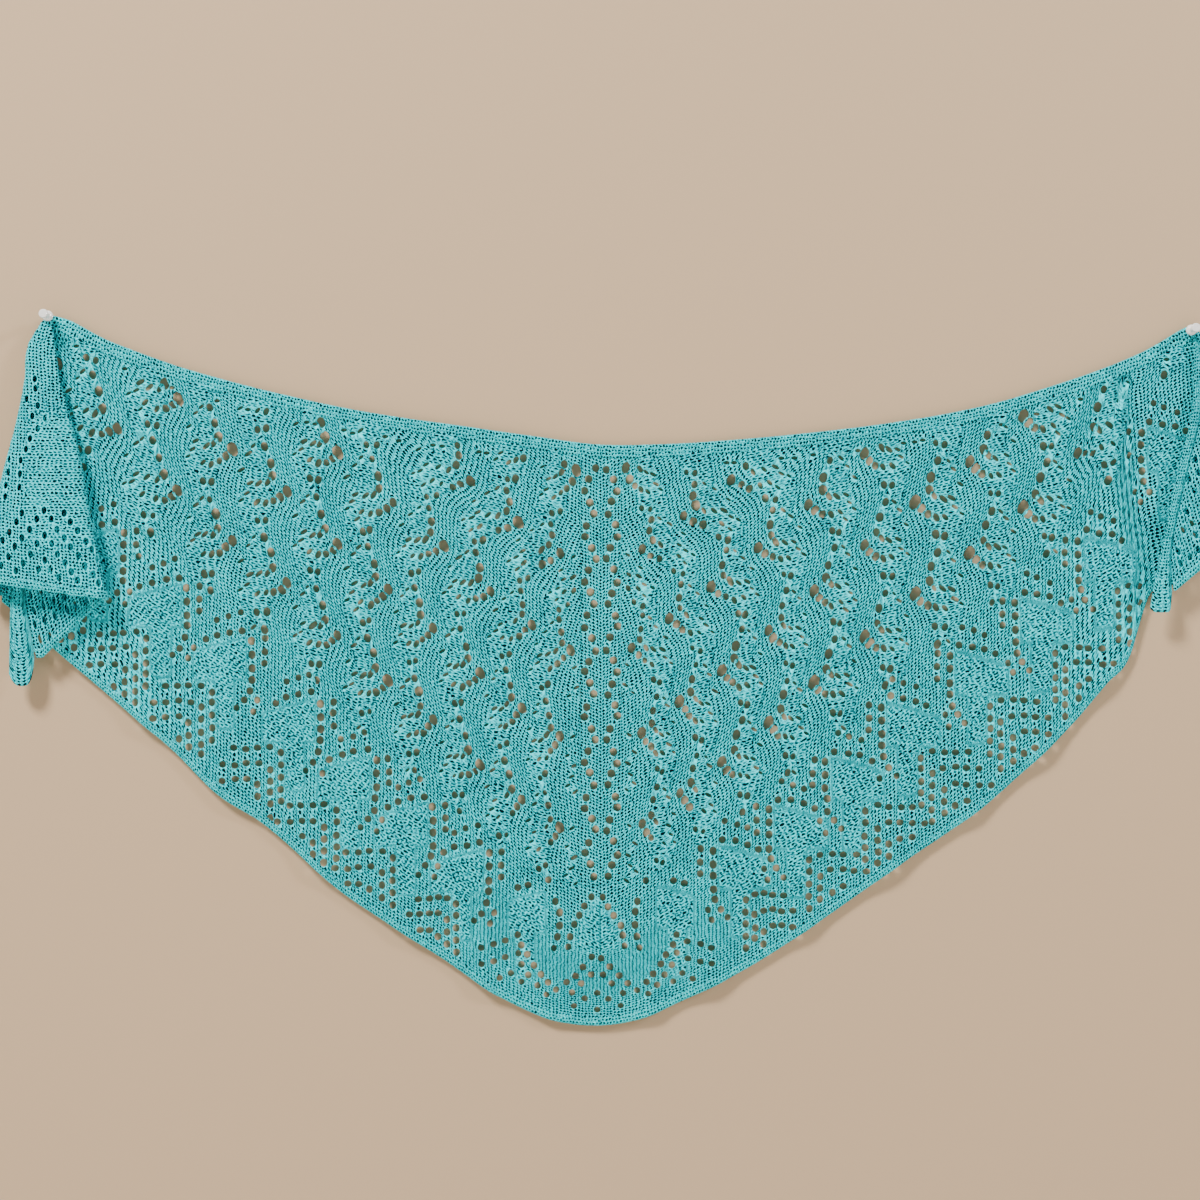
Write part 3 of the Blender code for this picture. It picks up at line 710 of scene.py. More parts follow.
def arc_columns(c0, c1, line, step):
    """Columns spaced evenly along a line's real length."""
    c = np.linspace(c0, c1, 4000)
    x, z = main_x(c, line(c)), line(c)
    s = np.concatenate([[0], np.cumsum(np.hypot(np.diff(x), np.diff(z)))])
    n = max(8, int(s[-1] / step))
    return np.interp(np.linspace(0, s[-1], n + 1), s, c)


def band_piece(name, c0, c1):
    c = arc_columns(c0, c1, top_edge, 1.9)
    top, drop = top_edge(c), band_drop(c)
    f = np.linspace(0, 1, 15)[None, :]
    z = top[:, None] - drop[:, None] * f * 1.04
    x = main_x(c[:, None], z)
    y = drape_y(x, z, c[:, None], main_hem(c)[:, None]) - 0.4
    return strip_piece(name, np.stack([x, y, z], 2), 2.2, 3.0, True, 4.0)


pieces["top_band_left"] = band_piece("top_band_left", SIDE_L0, SPINE_X)
pieces["top_band_right"] = band_piece("top_band_right", SPINE_X, SIDE_R0)


def hem_piece(name, c0, c1):
    c = arc_columns(c0, c1, main_hem, 1.9)
    h = main_hem(c)
    f = np.linspace(0, 1, 9)[None, :]
    z = h[:, None] + EDGE_H * f
    x = main_x(c[:, None], z)
    y = drape_y(x, z, c[:, None], h[:, None]) - 0.2
    return strip_piece(name, np.stack([x, y, z], 2), 2.0, 2.0, True, 3.0, relief=0.25)


pieces["hem_edge_left"] = hem_piece("hem_edge_left", SIDE_L0, SPINE_X)
pieces["hem_edge_right"] = hem_piece("hem_edge_right", SPINE_X, SIDE_R0)

# ------------------------------------------------------------------ tails
LEFT_HEM = dict(front=-271.5, fold=-287.0, back=-289.5, band=-349.0)
RIGHT_HEM = dict(front=-228.5, mid=-254.0, band=-279.0)
# the rounded tips of the hanging bands: share of the width, height
LEFT_TIP = ((0.0, -349.0), (0.17, -369.5), (0.33, -377.0), (0.5, -378.5), (0.67, -378.0),
            (0.83, -374.5), (1.0, -366.0))
RIGHT_TIP = ((0.0, -279.0), (0.2, -299.0), (0.4, -301.4), (0.6, -301.6), (0.8, -301.0), (1.0, -297.5))
LEFT_TOP = float(top_edge(SIDE_L0) - band_drop(SIDE_L0) / 2)
RIGHT_TOP = float(top_edge(SIDE_R0) - band_drop(SIDE_R0) / 2)
HEM_L0, HEM_R0 = float(main_hem(SIDE_L0)), float(main_hem(SIDE_R0))


def left_front_sizes(z):
    xo, xi, yf, ym = outer_l(z), inner_l(z), front_l(z), mid_l(z)
    r_out, r_in = (Y_BACK - yf) / 2, (ym - yf) / 2
    half = ((xi - r_in) - (xo + r_out)) / 2
    return xo, xi, yf, ym, r_out, r_in, half


def left_front_point(s, z):
    """s runs along the cloth from the middle of the front layer."""
    xo, xi, yf, ym, r_out, r_in, half = left_front_sizes(z)
    wide = xi - xo
    f = np.clip((s + half) / np.maximum(2 * half, 0.5), 0, 1)
    x = (xo + r_out) + 2 * half * f
    y = yf - 0.035 * wide * np.sin(np.pi * f) - 0.012 * wide * np.sin(3 * np.pi * f)
    a = np.clip((-half - s) / r_out, 0, math.pi)
    b = np.clip((s - half) / r_in, 0, math.pi)
    x = x - r_out * np.sin(a) + r_in * np.sin(b)
    y = y + (Y_BACK - yf) * (1 - np.cos(a)) / 2 + (ym - yf) * (1 - np.cos(b)) / 2
    return np.stack([x, y, z], -1)


def left_front_range(z):
    xo, xi, yf, ym, r_out, r_in, half = left_front_sizes(z)
    return -(half + math.pi * r_out) + 0.2, half + math.pi * r_in - 0.2


def left_front_hem(s, z=-280.0):
    xo, xi, yf, ym, r_out, r_in, half = (float(v) for v in left_front_sizes(z))
    points = ((-(half + math.pi * r_out), HEM_L0), (-half, LEFT_HEM["front"]),
              (half, LEFT_HEM["fold"]), (half + math.pi * r_in, LEFT_HEM["back"]))
    return np.interp(s, [p[0] for p in points], [p[1] for p in points])


def left_back_sizes(z):
    xi, yf, ym = inner_l(z), front_l(z), mid_l(z)
    x0 = xi - (ym - yf) / 2 - 0.15
    return x0, x0 - band_l_right(z) - 0.15, ym


def left_back_point(s, z):
    x0, length, ym = left_back_sizes(z)
    f = np.clip(s / np.maximum(length, 0.5), 0, 1)
    x = x0 - length * f
    y = ym + 0.014 * (inner_l(z) - outer_l(z)) * np.sin(2 * np.pi * f) * np.sin(np.pi * f)
    return np.stack([x, y, z], -1)


def left_back_hem(s):
    length = float(left_back_sizes(-300.0)[1])
    return np.interp(s, (0.0, length * 0.92), (LEFT_HEM["back"], LEFT_HEM["band"]))


def right_front_sizes(z):
    xo, yf = outer_r(z), front_r(z)
    radius = (Y_BACK - yf) / 2
    return xo, yf, radius, (xo - radius) - band_r_right(z) - 0.15


def right_front_point(s, z):
    """s runs from the start of the front layer at the fold, towards the band."""
    xo, yf, radius, length = right_front_sizes(z)
    f = np.clip(s / np.maximum(length, 0.5), 0, 1)
    x = (xo - radius) - length * f
    y = yf - 0.02 * length * np.sin(np.pi * f) ** 2
    a = np.clip(-s / radius, 0, math.pi)
    x = x + radius * np.sin(a)
    y = y + (Y_BACK - yf) * (1 - np.cos(a)) / 2
    return np.stack([x, y, z], -1)


def right_front_range(z):
    xo, yf, radius, length = right_front_sizes(z)
    return -math.pi * radius + 0.2, length


def right_front_hem(s, z=-250.0):
    xo, yf, radius, length = (float(v) for v in right_front_sizes(z))
    points = ((-math.pi * radius, HEM_R0), (0.0, RIGHT_HEM["front"]),
              (0.6 * length, RIGHT_HEM["mid"]), (length, RIGHT_HEM["band"]))
    return np.interp(s, [p[0] for p in points], [p[1] for p in points])


def tail_piece(name, point, span, hem_of, z_top, eyelets, outward, leafy=lambda z, s: 0.0 * s, w0=6.0, s_step=1.9):
    zs = np.linspace(z_top, -390, 60)
    low = min(float(span(z)[0]) for z in zs)
    high = max(float(span(z)[1]) for z in zs)
    n_low, n_high = math.ceil(-low / s_step), math.ceil(high / s_step)
    s = s_step * np.arange(-n_low, n_high + 1)
    h = hem_of(s)
    rows = int((z_top - h.min()) / CELL_Z) + 2
    z = h[:, None] + w0 + CELL_Z * np.arange(rows)[None, :]
    above = z > z_top
    z = np.minimum(z, z_top)
    lo, hi = span(z)
    s2 = np.clip(s[:, None] + 0 * z, lo, hi)
    outside = (s[:, None] < lo - 1e-6) | (s[:, None] > hi + 1e-6)
    gone = above | outside
    keep = ~(gone[:-1, :-1] & gone[1:, :-1] & gone[:-1, 1:] & gone[1:, 1:])
    flat = np.stack([s2, z], 2)
    c = Cloth(flat, keep & ~(outside[:-1, :-1] & outside[1:, 1:]))
    for a, zz, wide, high_, tilt in eyelets:
        i = int(round(a / s_step)) + n_low
        if not 2 < i < len(s) - 3:
            continue
        j = (zz - h[i] - w0) / CELL_Z
        c.hole(i, j, wide, high_, tilt, rng.normal(0, 0.2, 2))
    hold = gone.copy()
    hold[:, 0] = True
    place = c.settle(hold)
    mid = point(place[..., 0], place[..., 1])
    n = grid_normals(mid)
    flip = outward(n)
    n = n * flip
    ni, nj = z.shape
    I, J = np.meshgrid(np.arange(ni), np.arange(nj), indexing="ij")
    ridge = np.where((I - n_low) % 2 == 0, 1.0, -1.0)
    small = smoothstep((hi - lo) / 30.0)
    relief = 0.32 * ridge * small * (1 - 0.6 * c.rim_soft) + 0.4 * c.rim_soft
    relief = relief + rng.normal(0, 0.08, relief.shape)
    front = mid + n * (CLOTH_T / 2 + relief)[..., None]
    back = mid - n * (CLOTH_T / 2 - 0.3 * relief)[..., None]
    uv = np.stack([(I - n_low) * s_step / WALE, (J * CELL_Z + w0) / ROW], 2)
    alt = np.stack([z / ROW, s2 / 4.2], 2)
    return shell(name, front, back, c.keep, uv, alt, {"leaf": leafy(z, s2), "rim": c.rim_soft, "leaf_painted_light": leafy(z, s2)})


def left_front_place(x, z):
    xo, xi, yf, ym, r_out, r_in, half = (float(v) for v in left_front_sizes(z))
    return x - ((xo + r_out) + (xi - r_in)) / 2


left_eyelets = []
# nested pointed rows of eyelets at the foot of the front layer
for line in range(-1, 5):
    x0, z0 = -596.0 + 0.9 * line, -196.0 - 25.8 * line
    for k in range(0, 10):
        for side in (-1, 1):
            if k == 0 and side > 0:
                continue
            x, z = x0 + side * 7.1 * k, z0 - 9.5 * k
            if line == -1 and k < 3:
                continue
            left_eyelets.append((left_front_place(x, z), z, 2.9, 4.4, 0.0))
# and along the plain leaf above them
for x, z in ((-577, -59), (-576, -69), (-584, -78), (-572, -87), (-578, -97), (-565, -100),
             (-571, -111), (-578, -121), (-583, -132), (-588, -143), (-588, -157), (-589, -172),
             (-601, -142), (-602, -156), (-604, -169), (-603, -181)):
    x -= 34.0
    left_eyelets.append((left_front_place(x, z), z, 2.6, 4.2, 0.0))


def left_leaf(z, s):
    across = smoothstep((s + 22.0) / 10.0)
    return across * smoothstep((z + 250.0) / 30.0) * smoothstep((-70.0 - z) / 40.0) * 0.9


pieces["tail_left_front"] = tail_piece(
    "tail_left_front", left_front_point, left_front_range, left_front_hem, LEFT_TOP,
    left_eyelets, lambda n: -1.0 if np.median(n[n.shape[0] // 2 - 5:n.shape[0] // 2 + 5, 5:60, 1]) > 0 else 1.0,
    left_leaf)

inner_eyelets = []
for a in range(8):
    for k in range(26):
        inner_eyelets.append((6.0 + 11.0 * a + rng.normal(0, 0.8), -30.0 - 15.0 * k - 5.0 * (a % 3) + rng.normal(0, 1.0),
                              2.2, 5.4, math.radians(rng.normal(0, 8))))
pieces["tail_left_inner"] = tail_piece(
    "tail_left_inner", left_back_point, lambda z: (0.0 * z, left_back_sizes(z)[1]), left_back_hem,
    LEFT_TOP, inner_eyelets, lambda n: -1.0 if np.median(n[..., 1]) > 0 else 1.0)

right_eyelets = []
for a in range(10):
    for k in range(22):
        if (3 * a + 5 * k) % 7 == 0:
            continue
        right_eyelets.append((-14.0 + 11.0 * a + rng.normal(0, 0.8), -34.0 - 13.5 * k - 6.5 * (a % 2) + rng.normal(0, 0.8),
                              2.7, 4.2, math.radians(rng.normal(0, 8))))
pieces["tail_right_front"] = tail_piece(
    "tail_right_front", right_front_point, right_front_range, right_front_hem, RIGHT_TOP,
    right_eyelets, lambda n: -1.0 if np.median(n[n.shape[0] // 2:, 5:60, 1]) > 0 else 1.0)


def tail_hem_piece(name, point, hem_of, s0, s1, flip_test):
    n = int((s1 - s0) / 1.9)
    s = np.linspace(s0, s1, n + 1)[:, None]
    f = np.linspace(0, 1, 9)[None, :]
    z = hem_of(s) + EDGE_H * f
    grid = point(s + 0 * f, z)
    nrm = grid_normals(grid)
    return strip_piece(name, grid, 2.0, 2.0, True, 3.0, flip=flip_test(nrm), relief=0.25)


def lf_span(z):
    return [float(v) for v in left_front_range(z)]


pieces["tail_left_hem"] = tail_hem_piece(
    "tail_left_hem", left_front_point, left_front_hem, lf_span(-276.0)[0] + 0.5, lf_span(-284.0)[1],
    lambda n: bool(np.median(n[n.shape[0] // 2 - 5:n.shape[0] // 2 + 5, :, 1]) > 0))
pieces["tail_left_hem_inner"] = tail_hem_piece(
    "tail_left_hem_inner", left_back_point, left_back_hem, 0.0, float(left_back_sizes(-330.0)[1]) - 1.0,
    lambda n: bool(np.median(n[..., 1]) > 0))
pieces["tail_right_hem"] = tail_hem_piece(
    "tail_right_hem", right_front_point, right_front_hem,
    float(right_front_range(-230.0)[0]) + 0.5, float(right_front_range(-270.0)[1]) - 1.0,
    lambda n: bool(np.median(n[n.shape[0] // 2:, :, 1]) > 0))


def hanging_band(name, left_of, right_of, y_of, z_top, tip):
    """The garter band of a tail, down from its pin to the rounded tip."""
    low_at = smooth_curve(tip)
    na = int((z_top - min(z for _, z in tip)) / 1.9)
    t = np.linspace(0, 1, na + 1)[:, None]
    f = np.linspace(0, 1, 17)[None, :]
    z = z_top + (low_at(f) - z_top) * t
    x0, x1 = right_of(z) - 0.15, left_of(z)
    x = x0 + (x1 - x0) * f
    y = y_of(z, x0 - x1, f) - 0.2
    return strip_piece(name, np.stack([x, y, z], 2), 2.2, 3.0, True, 4.0)


pieces["tail_left_band"] = hanging_band(
    "tail_left_band", band_l_left, band_l_right, lambda z, w, f: mid_l(z) + 0 * f, LEFT_TOP, LEFT_TIP)
pieces["tail_right_band"] = hanging_band(
    "tail_right_band", band_r_left, band_r_right,
    lambda z, w, f: front_r(z) - 0.05 * w * (1 - np.cos(np.pi * f)), RIGHT_TOP, RIGHT_TIP)

# ------------------------------------------------------------------ materials


def nodes_of(name):
    mat = bpy.data.materials.new(name)
    mat.use_nodes = True
    nt = mat.node_tree
    return mat, nt, nt.nodes["Principled BSDF"]


def math_node(nt, op, a, b=None, c=None, clamp=False):
    n = nt.nodes.new("ShaderNodeMath")
    n.operation = op
    n.use_clamp = clamp
    for k, v in enumerate((a, b, c)):
        if v is None:
            continue
        if isinstance(v, (int, float)):
            n.inputs[k].default_value = v
        else:
            nt.links.new(v, n.inputs[k])
    return n.outputs[0]


def yarn_pattern(nt, uv_name, sway=0.95, grain=0.42, stretch=0.88, scatter=0.3):
    """Strands that lean together into V stitches, and the gaps between them, which the material paints near black as
    shade.
    """
    uv = nt.nodes.new("ShaderNodeUVMap")
    uv.uv_map = uv_name
    wobble = nt.nodes.new("ShaderNodeTexNoise")
    wobble.inputs["Scale"].default_value = grain
    wobble.inputs["Detail"].default_value = 2.0
    nt.links.new(uv.outputs[0], wobble.inputs["Vector"])
    off = nt.nodes.new("ShaderNodeVectorMath")
    off.operation = "MULTIPLY_ADD"
    off.inputs[1].default_value = (sway, 0.6 * sway, 0.0)
    nt.links.new(wobble.outputs["Color"], off.inputs[0])
    nt.links.new(uv.outputs[0], off.inputs[2])
    sep = nt.nodes.new("ShaderNodeSeparateXYZ")
    nt.links.new(off.outputs[0], sep.inputs[0])
    u = sep.outputs[0]
    row = nt.nodes.new("ShaderNodeTexWhiteNoise")
    row.noise_dimensions = "1D"
    nt.links.new(math_node(nt, "FLOOR", math_node(nt, "ADD", u, 0.0)), row.inputs["W"])
    v = math_node(nt, "MULTIPLY_ADD", sep.outputs[1], stretch, math_node(nt, "MULTIPLY", row.outputs[0], scatter))
    side = math_node(nt, "ABSOLUTE", math_node(nt, "SUBTRACT", math_node(nt, "FRACT", math_node(nt, "ADD", u, 0.5)), 0.5))
    lean = math_node(nt, "MULTIPLY", side, 1.25)
    vf = math_node(nt, "FRACT", math_node(nt, "SUBTRACT", v, lean))
    across = math_node(nt, "ABSOLUTE", math_node(nt, "SUBTRACT", vf, 0.5))
    strand = math_node(nt, "SUBTRACT", 1.0, math_node(nt, "POWER", math_node(nt, "MULTIPLY", across, 2.0), 2.4))
    leg = math_node(nt, "ABSOLUTE", math_node(nt, "SUBTRACT", side, 0.26))
    leg = math_node(nt, "SUBTRACT", 1.0, math_node(nt, "POWER", math_node(nt, "MULTIPLY", leg, 3.6), 2.0), clamp=True)
    height = math_node(nt, "MULTIPLY", strand, leg, clamp=True)
    # gaps: one dash between neighbouring stitches in every row, deeper in some than others, and painted darker the
    # deeper they are: painted shade
    cell = nt.nodes.new("ShaderNodeCombineXYZ")
    nt.links.new(math_node(nt, "FLOOR", u), cell.inputs[0])
    nt.links.new(math_node(nt, "FLOOR", v), cell.inputs[1])
    luck = nt.nodes.new("ShaderNodeTexWhiteNoise")
    luck.noise_dimensions = "2D"
    nt.links.new(cell.outputs[0], luck.inputs["Vector"])
    gx = math_node(nt, "POWER", math_node(nt, "DIVIDE", math_node(nt, "SUBTRACT", 0.5, side), 0.34), 2.0)
    gy = math_node(nt, "POWER", math_node(nt, "DIVIDE", math_node(nt, "ABSOLUTE", math_node(
        nt, "SUBTRACT", math_node(nt, "FRACT", v), 0.5)), 0.43), 2.0)
    gap = math_node(nt, "SUBTRACT", 1.0, math_node(nt, "ADD", gx, gy), clamp=True)
    depth = math_node(nt, "MULTIPLY_ADD", luck.outputs[0], 1.0, 0.45)
    gap = math_node(nt, "MULTIPLY", math_node(nt, "POWER", gap, 0.5), depth, clamp=True)
    return height, gap


def blend_nodes(nt, factor, a, b):
    mix = nt.nodes.new("ShaderNodeMix")
    mix.data_type = "FLOAT"
    nt.links.new(factor, mix.inputs[0])
    nt.links.new(a, mix.inputs[2])
    nt.links.new(b, mix.inputs[3])
    return mix.outputs[0]


def yarn_material(name, dark, mid, light, lean_leaf=True, bump=1.0, gaps=1.0, sway=0.95):
    mat, nt, bsdf = nodes_of(name)
    height, gap = yarn_pattern(nt, "UVMap", sway, 0.5, 0.88, 0.45)
    if lean_leaf:
        leaf = nt.nodes.new("ShaderNodeAttribute")
        leaf.attribute_name = "leaf"
        height2, gap2 = yarn_pattern(nt, "Turned", 1.7, 0.55, 0.9, 3.0)
        height = blend_nodes(nt, leaf.outputs["Fac"], height, height2)
        gap = blend_nodes(nt, leaf.outputs["Fac"], gap, math_node(nt, "MULTIPLY", gap2, 0.82))
    # The rim mark paints the yarn round each eyelet and along the leaves' turns lighter, with less of the gaps'
    # painted shade: a painted highlight.
    rim = nt.nodes.new("ShaderNodeAttribute")
    rim.attribute_name = "rim"
    open_gap = math_node(nt, "MULTIPLY", gap, math_node(nt, "MULTIPLY_ADD", rim.outputs["Fac"], -0.7, 1.0), clamp=True)
    # This mark paints the leaf zones' yarn lighter than the ribs', and their gaps get less painted shade above:
    # painted light.
    leaf_painted_light = nt.nodes.new("ShaderNodeAttribute")
    leaf_painted_light.attribute_name = "leaf_painted_light"
    coord = nt.nodes.new("ShaderNodeTexCoord")
    fine = nt.nodes.new("ShaderNodeTexNoise")
    fine.inputs["Scale"].default_value = 760.0
    fine.inputs["Detail"].default_value = 3.0
    nt.links.new(coord.outputs["Object"], fine.inputs["Vector"])
    clump = nt.nodes.new("ShaderNodeTexNoise")
    clump.inputs["Scale"].default_value = 210.0
    clump.inputs["Detail"].default_value = 2.0
    nt.links.new(coord.outputs["Object"], clump.inputs["Vector"])
    broad = nt.nodes.new("ShaderNodeTexNoise")
    broad.inputs["Scale"].default_value = 30.0
    broad.inputs["Detail"].default_value = 3.0
    nt.links.new(coord.outputs["Object"], broad.inputs["Vector"])
    # Painted light and shade: the tone raises the strands' crowns towards the ramp's light end, a painted highlight,
    # and sinks the gaps between strands towards its near-black end, a painted shade for the shadow seen through them;
    # the fine, clump and broad noises are random tone.
    lifted = math_node(nt, "MAXIMUM", height, math_node(nt, "MULTIPLY", rim.outputs["Fac"], 0.85))
    tone = math_node(nt, "MULTIPLY_ADD", lifted, 0.46, 0.44)
    tone = math_node(nt, "MULTIPLY_ADD", leaf_painted_light.outputs["Fac"], 0.13, tone)
    tone = math_node(nt, "MULTIPLY_ADD", rim.outputs["Fac"], 0.05, tone)
    tone = math_node(nt, "MULTIPLY_ADD", math_node(nt, "SUBTRACT", fine.outputs[0], 0.5), 0.5, tone)
    tone = math_node(nt, "MULTIPLY_ADD", math_node(nt, "SUBTRACT", clump.outputs[0], 0.5), 0.5, tone)
    tone = math_node(nt, "MULTIPLY_ADD", math_node(nt, "SUBTRACT", broad.outputs[0], 0.5), 0.3, tone)
    tone = math_node(nt, "MULTIPLY_ADD", open_gap, -1.65 * gaps, tone)
    # The ramp runs from dark, a near-black painted shade, through mid, the yarn's own turquoise, to light, a painted
    # highlight.
    ramp = nt.nodes.new("ShaderNodeValToRGB")
    ramp.color_ramp.elements[0].position = 0.0
    ramp.color_ramp.elements[0].color = (*dark, 1)
    ramp.color_ramp.elements[1].position = 0.90
    ramp.color_ramp.elements[1].color = (*light, 1)
    e = ramp.color_ramp.elements.new(0.45)
    e.color = (*mid, 1)
    nt.links.new(tone, ramp.inputs[0])
    nt.links.new(ramp.outputs[0], bsdf.inputs["Base Color"])
    rough = math_node(nt, "MULTIPLY_ADD", fine.outputs[0], 0.16, 0.74)
    nt.links.new(rough, bsdf.inputs["Roughness"])
    total = math_node(nt, "MULTIPLY_ADD", fine.outputs[0], 0.30, lifted)
    total = math_node(nt, "MULTIPLY_ADD", open_gap, -1.1 * gaps, total)
    bmp = nt.nodes.new("ShaderNodeBump")
    bmp.inputs["Strength"].default_value = 0.7 * bump
    bmp.inputs["Distance"].default_value = 0.0013
    nt.links.new(total, bmp.inputs["Height"])
    nt.links.new(bmp.outputs[0], bsdf.inputs["Normal"])
    bsdf.inputs["Sheen Weight"].default_value = 0.04
    bsdf.inputs["Sheen Roughness"].default_value = 0.45
    bsdf.inputs["Sheen Tint"].default_value = (0.35, 0.95, 0.95, 1)
    bsdf.inputs["Specular IOR Level"].default_value = 0.06
    return mat


def srgb(r, g, b):
    return tuple(((v / 255 / 12.92) if v / 255 <= 0.04045 else ((v / 255 + 0.055) / 1.055) ** 2.4) for v in (r, g, b))


LACE = yarn_material("turquoise_lace_yarn", (0.0, 0.003, 0.005), (0.0, 0.31, 0.37), (0.0, 0.92, 1.0), sway=1.35)
GARTER = yarn_material("turquoise_garter_yarn", (0.0, 0.012, 0.017), (0.0, 0.32, 0.38), (0.0, 0.92, 0.97), lean_leaf=False, gaps=0.58, sway=1.8)
EDGE = yarn_material("turquoise_bind_off_yarn", (0.0, 0.012, 0.017), (0.0, 0.34, 0.40), (0.0, 0.96, 1.0), lean_leaf=False, gaps=0.5, sway=1.5)


def plastic():
    mat, nt, bsdf = nodes_of("white_pin_plastic")
    coord = nt.nodes.new("ShaderNodeTexCoord")
    noise = nt.nodes.new("ShaderNodeTexNoise")
    noise.inputs["Scale"].default_value = 420.0
    nt.links.new(coord.outputs["Object"], noise.inputs["Vector"])
    ramp = nt.nodes.new("ShaderNodeValToRGB")
    ramp.color_ramp.elements[0].color = (0.70, 0.69, 0.66, 1)
    ramp.color_ramp.elements[1].color = (0.86, 0.85, 0.83, 1)
    nt.links.new(noise.outputs[0], ramp.inputs[0])
    nt.links.new(ramp.outputs[0], bsdf.inputs["Base Color"])
    nt.links.new(math_node(nt, "MULTIPLY_ADD", noise.outputs[0], 0.18, 0.22), bsdf.inputs["Roughness"])
    bsdf.inputs["Coat Weight"].default_value = 0.3
    return mat


def steel():
    mat, nt, bsdf = nodes_of("needle_steel")
    coord = nt.nodes.new("ShaderNodeTexCoord")
    noise = nt.nodes.new("ShaderNodeTexNoise")
    noise.inputs["Scale"].default_value = 900.0
    nt.links.new(coord.outputs["Object"], noise.inputs["Vector"])
    ramp = nt.nodes.new("ShaderNodeValToRGB")
    ramp.color_ramp.elements[0].color = (0.50, 0.50, 0.51, 1)
    ramp.color_ramp.elements[1].color = (0.68, 0.68, 0.69, 1)
    nt.links.new(noise.outputs[0], ramp.inputs[0])
    nt.links.new(ramp.outputs[0], bsdf.inputs["Base Color"])
    nt.links.new(math_node(nt, "MULTIPLY_ADD", noise.outputs[0], 0.2, 0.2), bsdf.inputs["Roughness"])
    bsdf.inputs["Metallic"].default_value = 1.0
    return mat


SLOTS = {}
for name, ob in pieces.items():
    mat, slot = (GARTER, "garter_yarn") if "band" in name else (
        (EDGE, "bind_off_yarn") if "hem" in name else (LACE, "lace_yarn"))
    ob.data.materials.append(mat)
    ob.name = ob.data.name = "knit_" + name
    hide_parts(name)
    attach(ob, "root")

WHITE, STEEL = plastic(), steel()
for side in ("left", "right"):
    for part, mat in (("head", WHITE), ("needle", STEEL)):
        node = bpy.data.objects.get(f"pin_{side}_{part}")
        if node is not None:
            for s in node.material_slots:
                s.material = mat


def surface_area(ob):
    me = ob.data
    me.calc_loop_triangles()
    tri = np.empty(len(me.loop_triangles) * 3, np.int32)
    me.loop_triangles.foreach_get("vertices", tri)
    co = np.empty(len(me.vertices) * 3)
    me.vertices.foreach_get("co", co)
    p = co.reshape(-1, 3)[tri.reshape(-1, 3)]
    return float(np.linalg.norm(np.cross(p[:, 1] - p[:, 0], p[:, 2] - p[:, 0]), axis=1).sum() / 2)


total_tris = 0
for name, ob in pieces.items():
    area = surface_area(ob)
    total_tris += ob["tris"]
    print("piece", name, "tris", ob["tris"], "surface", round(area, 4))
print("all tris", total_tris, "eyelets", len(cloth.holes))

# ------------------------------------------------------------------ stage


def plain_material(name, colour, rough, one_sided):
    mat, nt, bsdf = nodes_of(name)
    bsdf.inputs["Base Color"].default_value = (*colour, 1)
    bsdf.inputs["Roughness"].default_value = rough
    if one_sided:
        geo = nt.nodes.new("ShaderNodeNewGeometry")
        clear = nt.nodes.new("ShaderNodeBsdfTransparent")
        mix = nt.nodes.new("ShaderNodeMixShader")
        out = nt.nodes["Material Output"]
        path = nt.nodes.new("ShaderNodeLightPath")
        seen_through = math_node(nt, "MAXIMUM", geo.outputs["Backfacing"], path.outputs["Is Shadow Ray"])
        nt.links.new(seen_through, mix.inputs[0])
        nt.links.new(bsdf.outputs[0], mix.inputs[1])
        nt.links.new(clear.outputs[0], mix.inputs[2])
        nt.links.new(mix.outputs[0], out.inputs["Surface"])
    return mat


def quad(name, corners, mat):
    mesh = bpy.data.meshes.new(name)
    mesh.from_pydata(corners, [], [tuple(range(len(corners)))])
    ob = bpy.data.objects.new(name, mesh)
    bpy.context.scene.collection.objects.link(ob)
    ob.data.materials.append(mat)
    ob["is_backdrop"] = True
    return ob


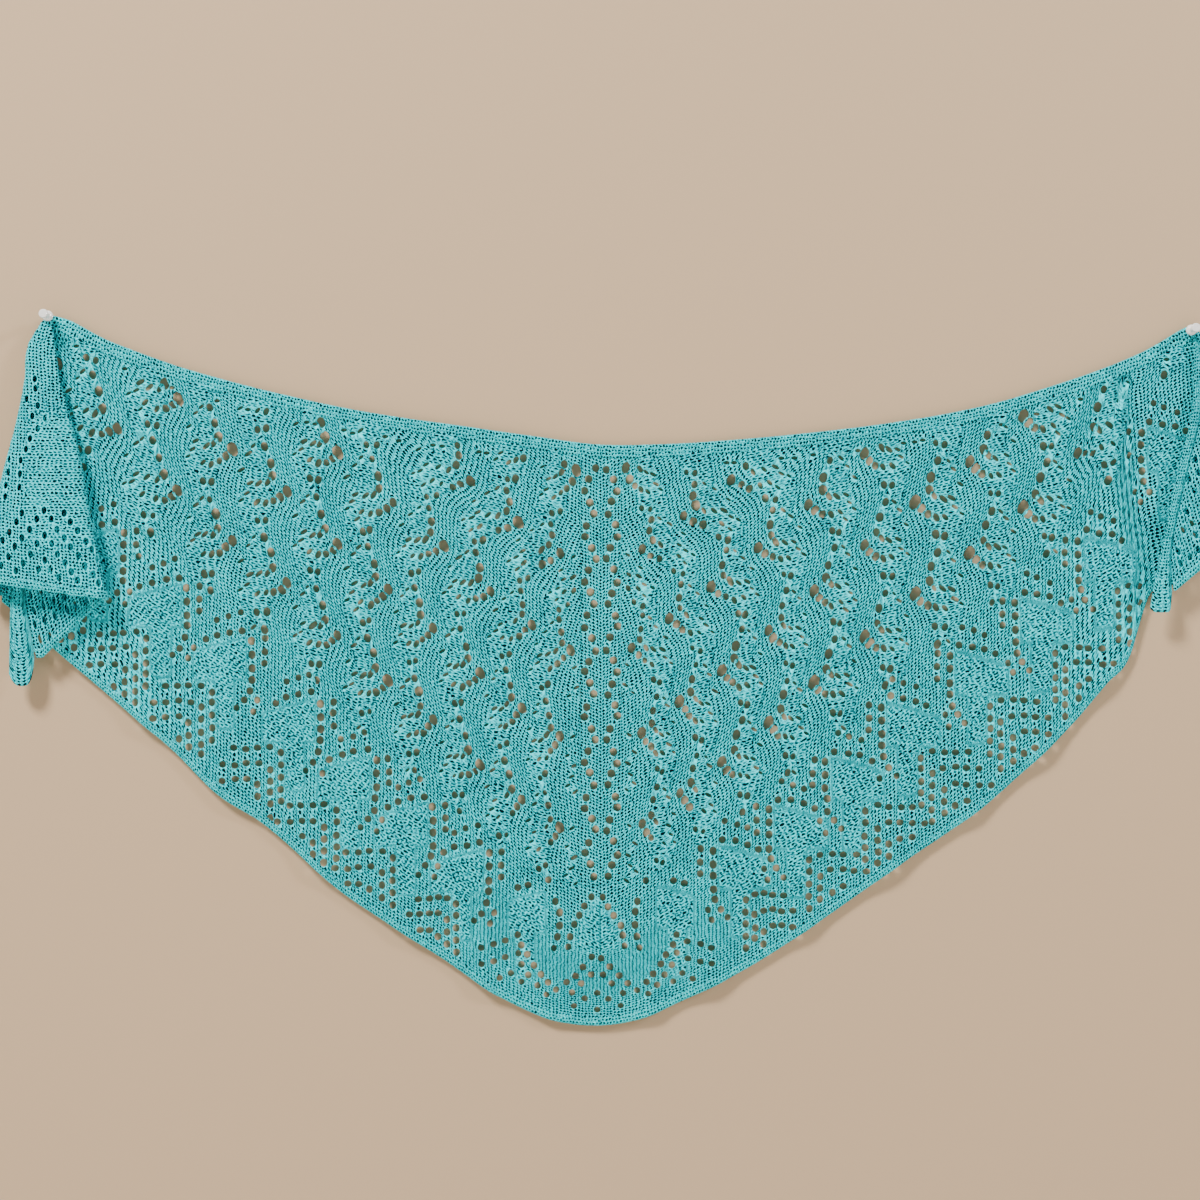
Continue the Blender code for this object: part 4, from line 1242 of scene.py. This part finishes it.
wall = quad("stage_wall", [(-6, 0.0025, -1.2), (6, 0.0025, -1.2), (6, 0.0025, 3), (-6, 0.0025, 3)],
            plain_material("stage_wall_paint", srgb(182, 154, 122), 0.9, True))
floor = quad("stage_floor", [(-8, -8, -1.2), (8, -8, -1.2), (8, 8, -1.2), (-8, 8, -1.2)],
             plain_material("stage_floor_paint", srgb(226, 224, 220), 0.85, False))


def area_light(name, where, aim, size, watts, colour=(1, 1, 1)):
    lamp = bpy.data.lights.new(name, "AREA")
    lamp.shape = "RECTANGLE"
    lamp.size, lamp.size_y = size
    lamp.energy = watts
    lamp.color = colour
    ob = bpy.data.objects.new(name, lamp)
    ob.location = where
    ob.rotation_euler = (Vector(aim) - Vector(where)).to_track_quat("-Z", "Y").to_euler()
    bpy.context.scene.collection.objects.link(ob)
    ob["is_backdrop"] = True
    return ob


area_light("key", (-2.2, -2.7, 3.3), (0, 0, -0.35), (1.0, 1.0), 475, (1.0, 0.985, 0.955))
area_light("fill", (2.7, -1.7, 1.3), (0.3, 0, -0.3), (0.6, 0.6), 80, (0.97, 0.99, 1.0))
area_light("behind", (0.4, 2.8, 0.9), (0, 0, -0.35), (2.4, 1.6), 45)

world = bpy.data.worlds.new("studio")
world.use_nodes = True
world.node_tree.nodes["Background"].inputs[0].default_value = (0.93, 0.96, 1.0, 1)
world.node_tree.nodes["Background"].inputs[1].default_value = 0.24
bpy.context.scene.world = world

cam = bpy.data.cameras.new("camera")
cam.sensor_width = 36.0
DISTANCE, WIDE = 1.9, 1.26
cam.lens = 36.0 * (DISTANCE - 0.006) / WIDE
cam.clip_start, cam.clip_end = 0.02, 60
cam_ob = bpy.data.objects.new("camera", cam)
cam_ob.location = (-0.021, -DISTANCE, -0.28875)
cam_ob.rotation_euler = (math.radians(90), 0, 0)
bpy.context.scene.collection.objects.link(cam_ob)
bpy.context.scene.camera = cam_ob


def plain(v):
    return [[float(c) for c in p] for p in v] if hasattr(v[0], "__len__") else [float(c) for c in v]


{"cad": plain(CAD_BOX), "now": plain(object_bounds())}
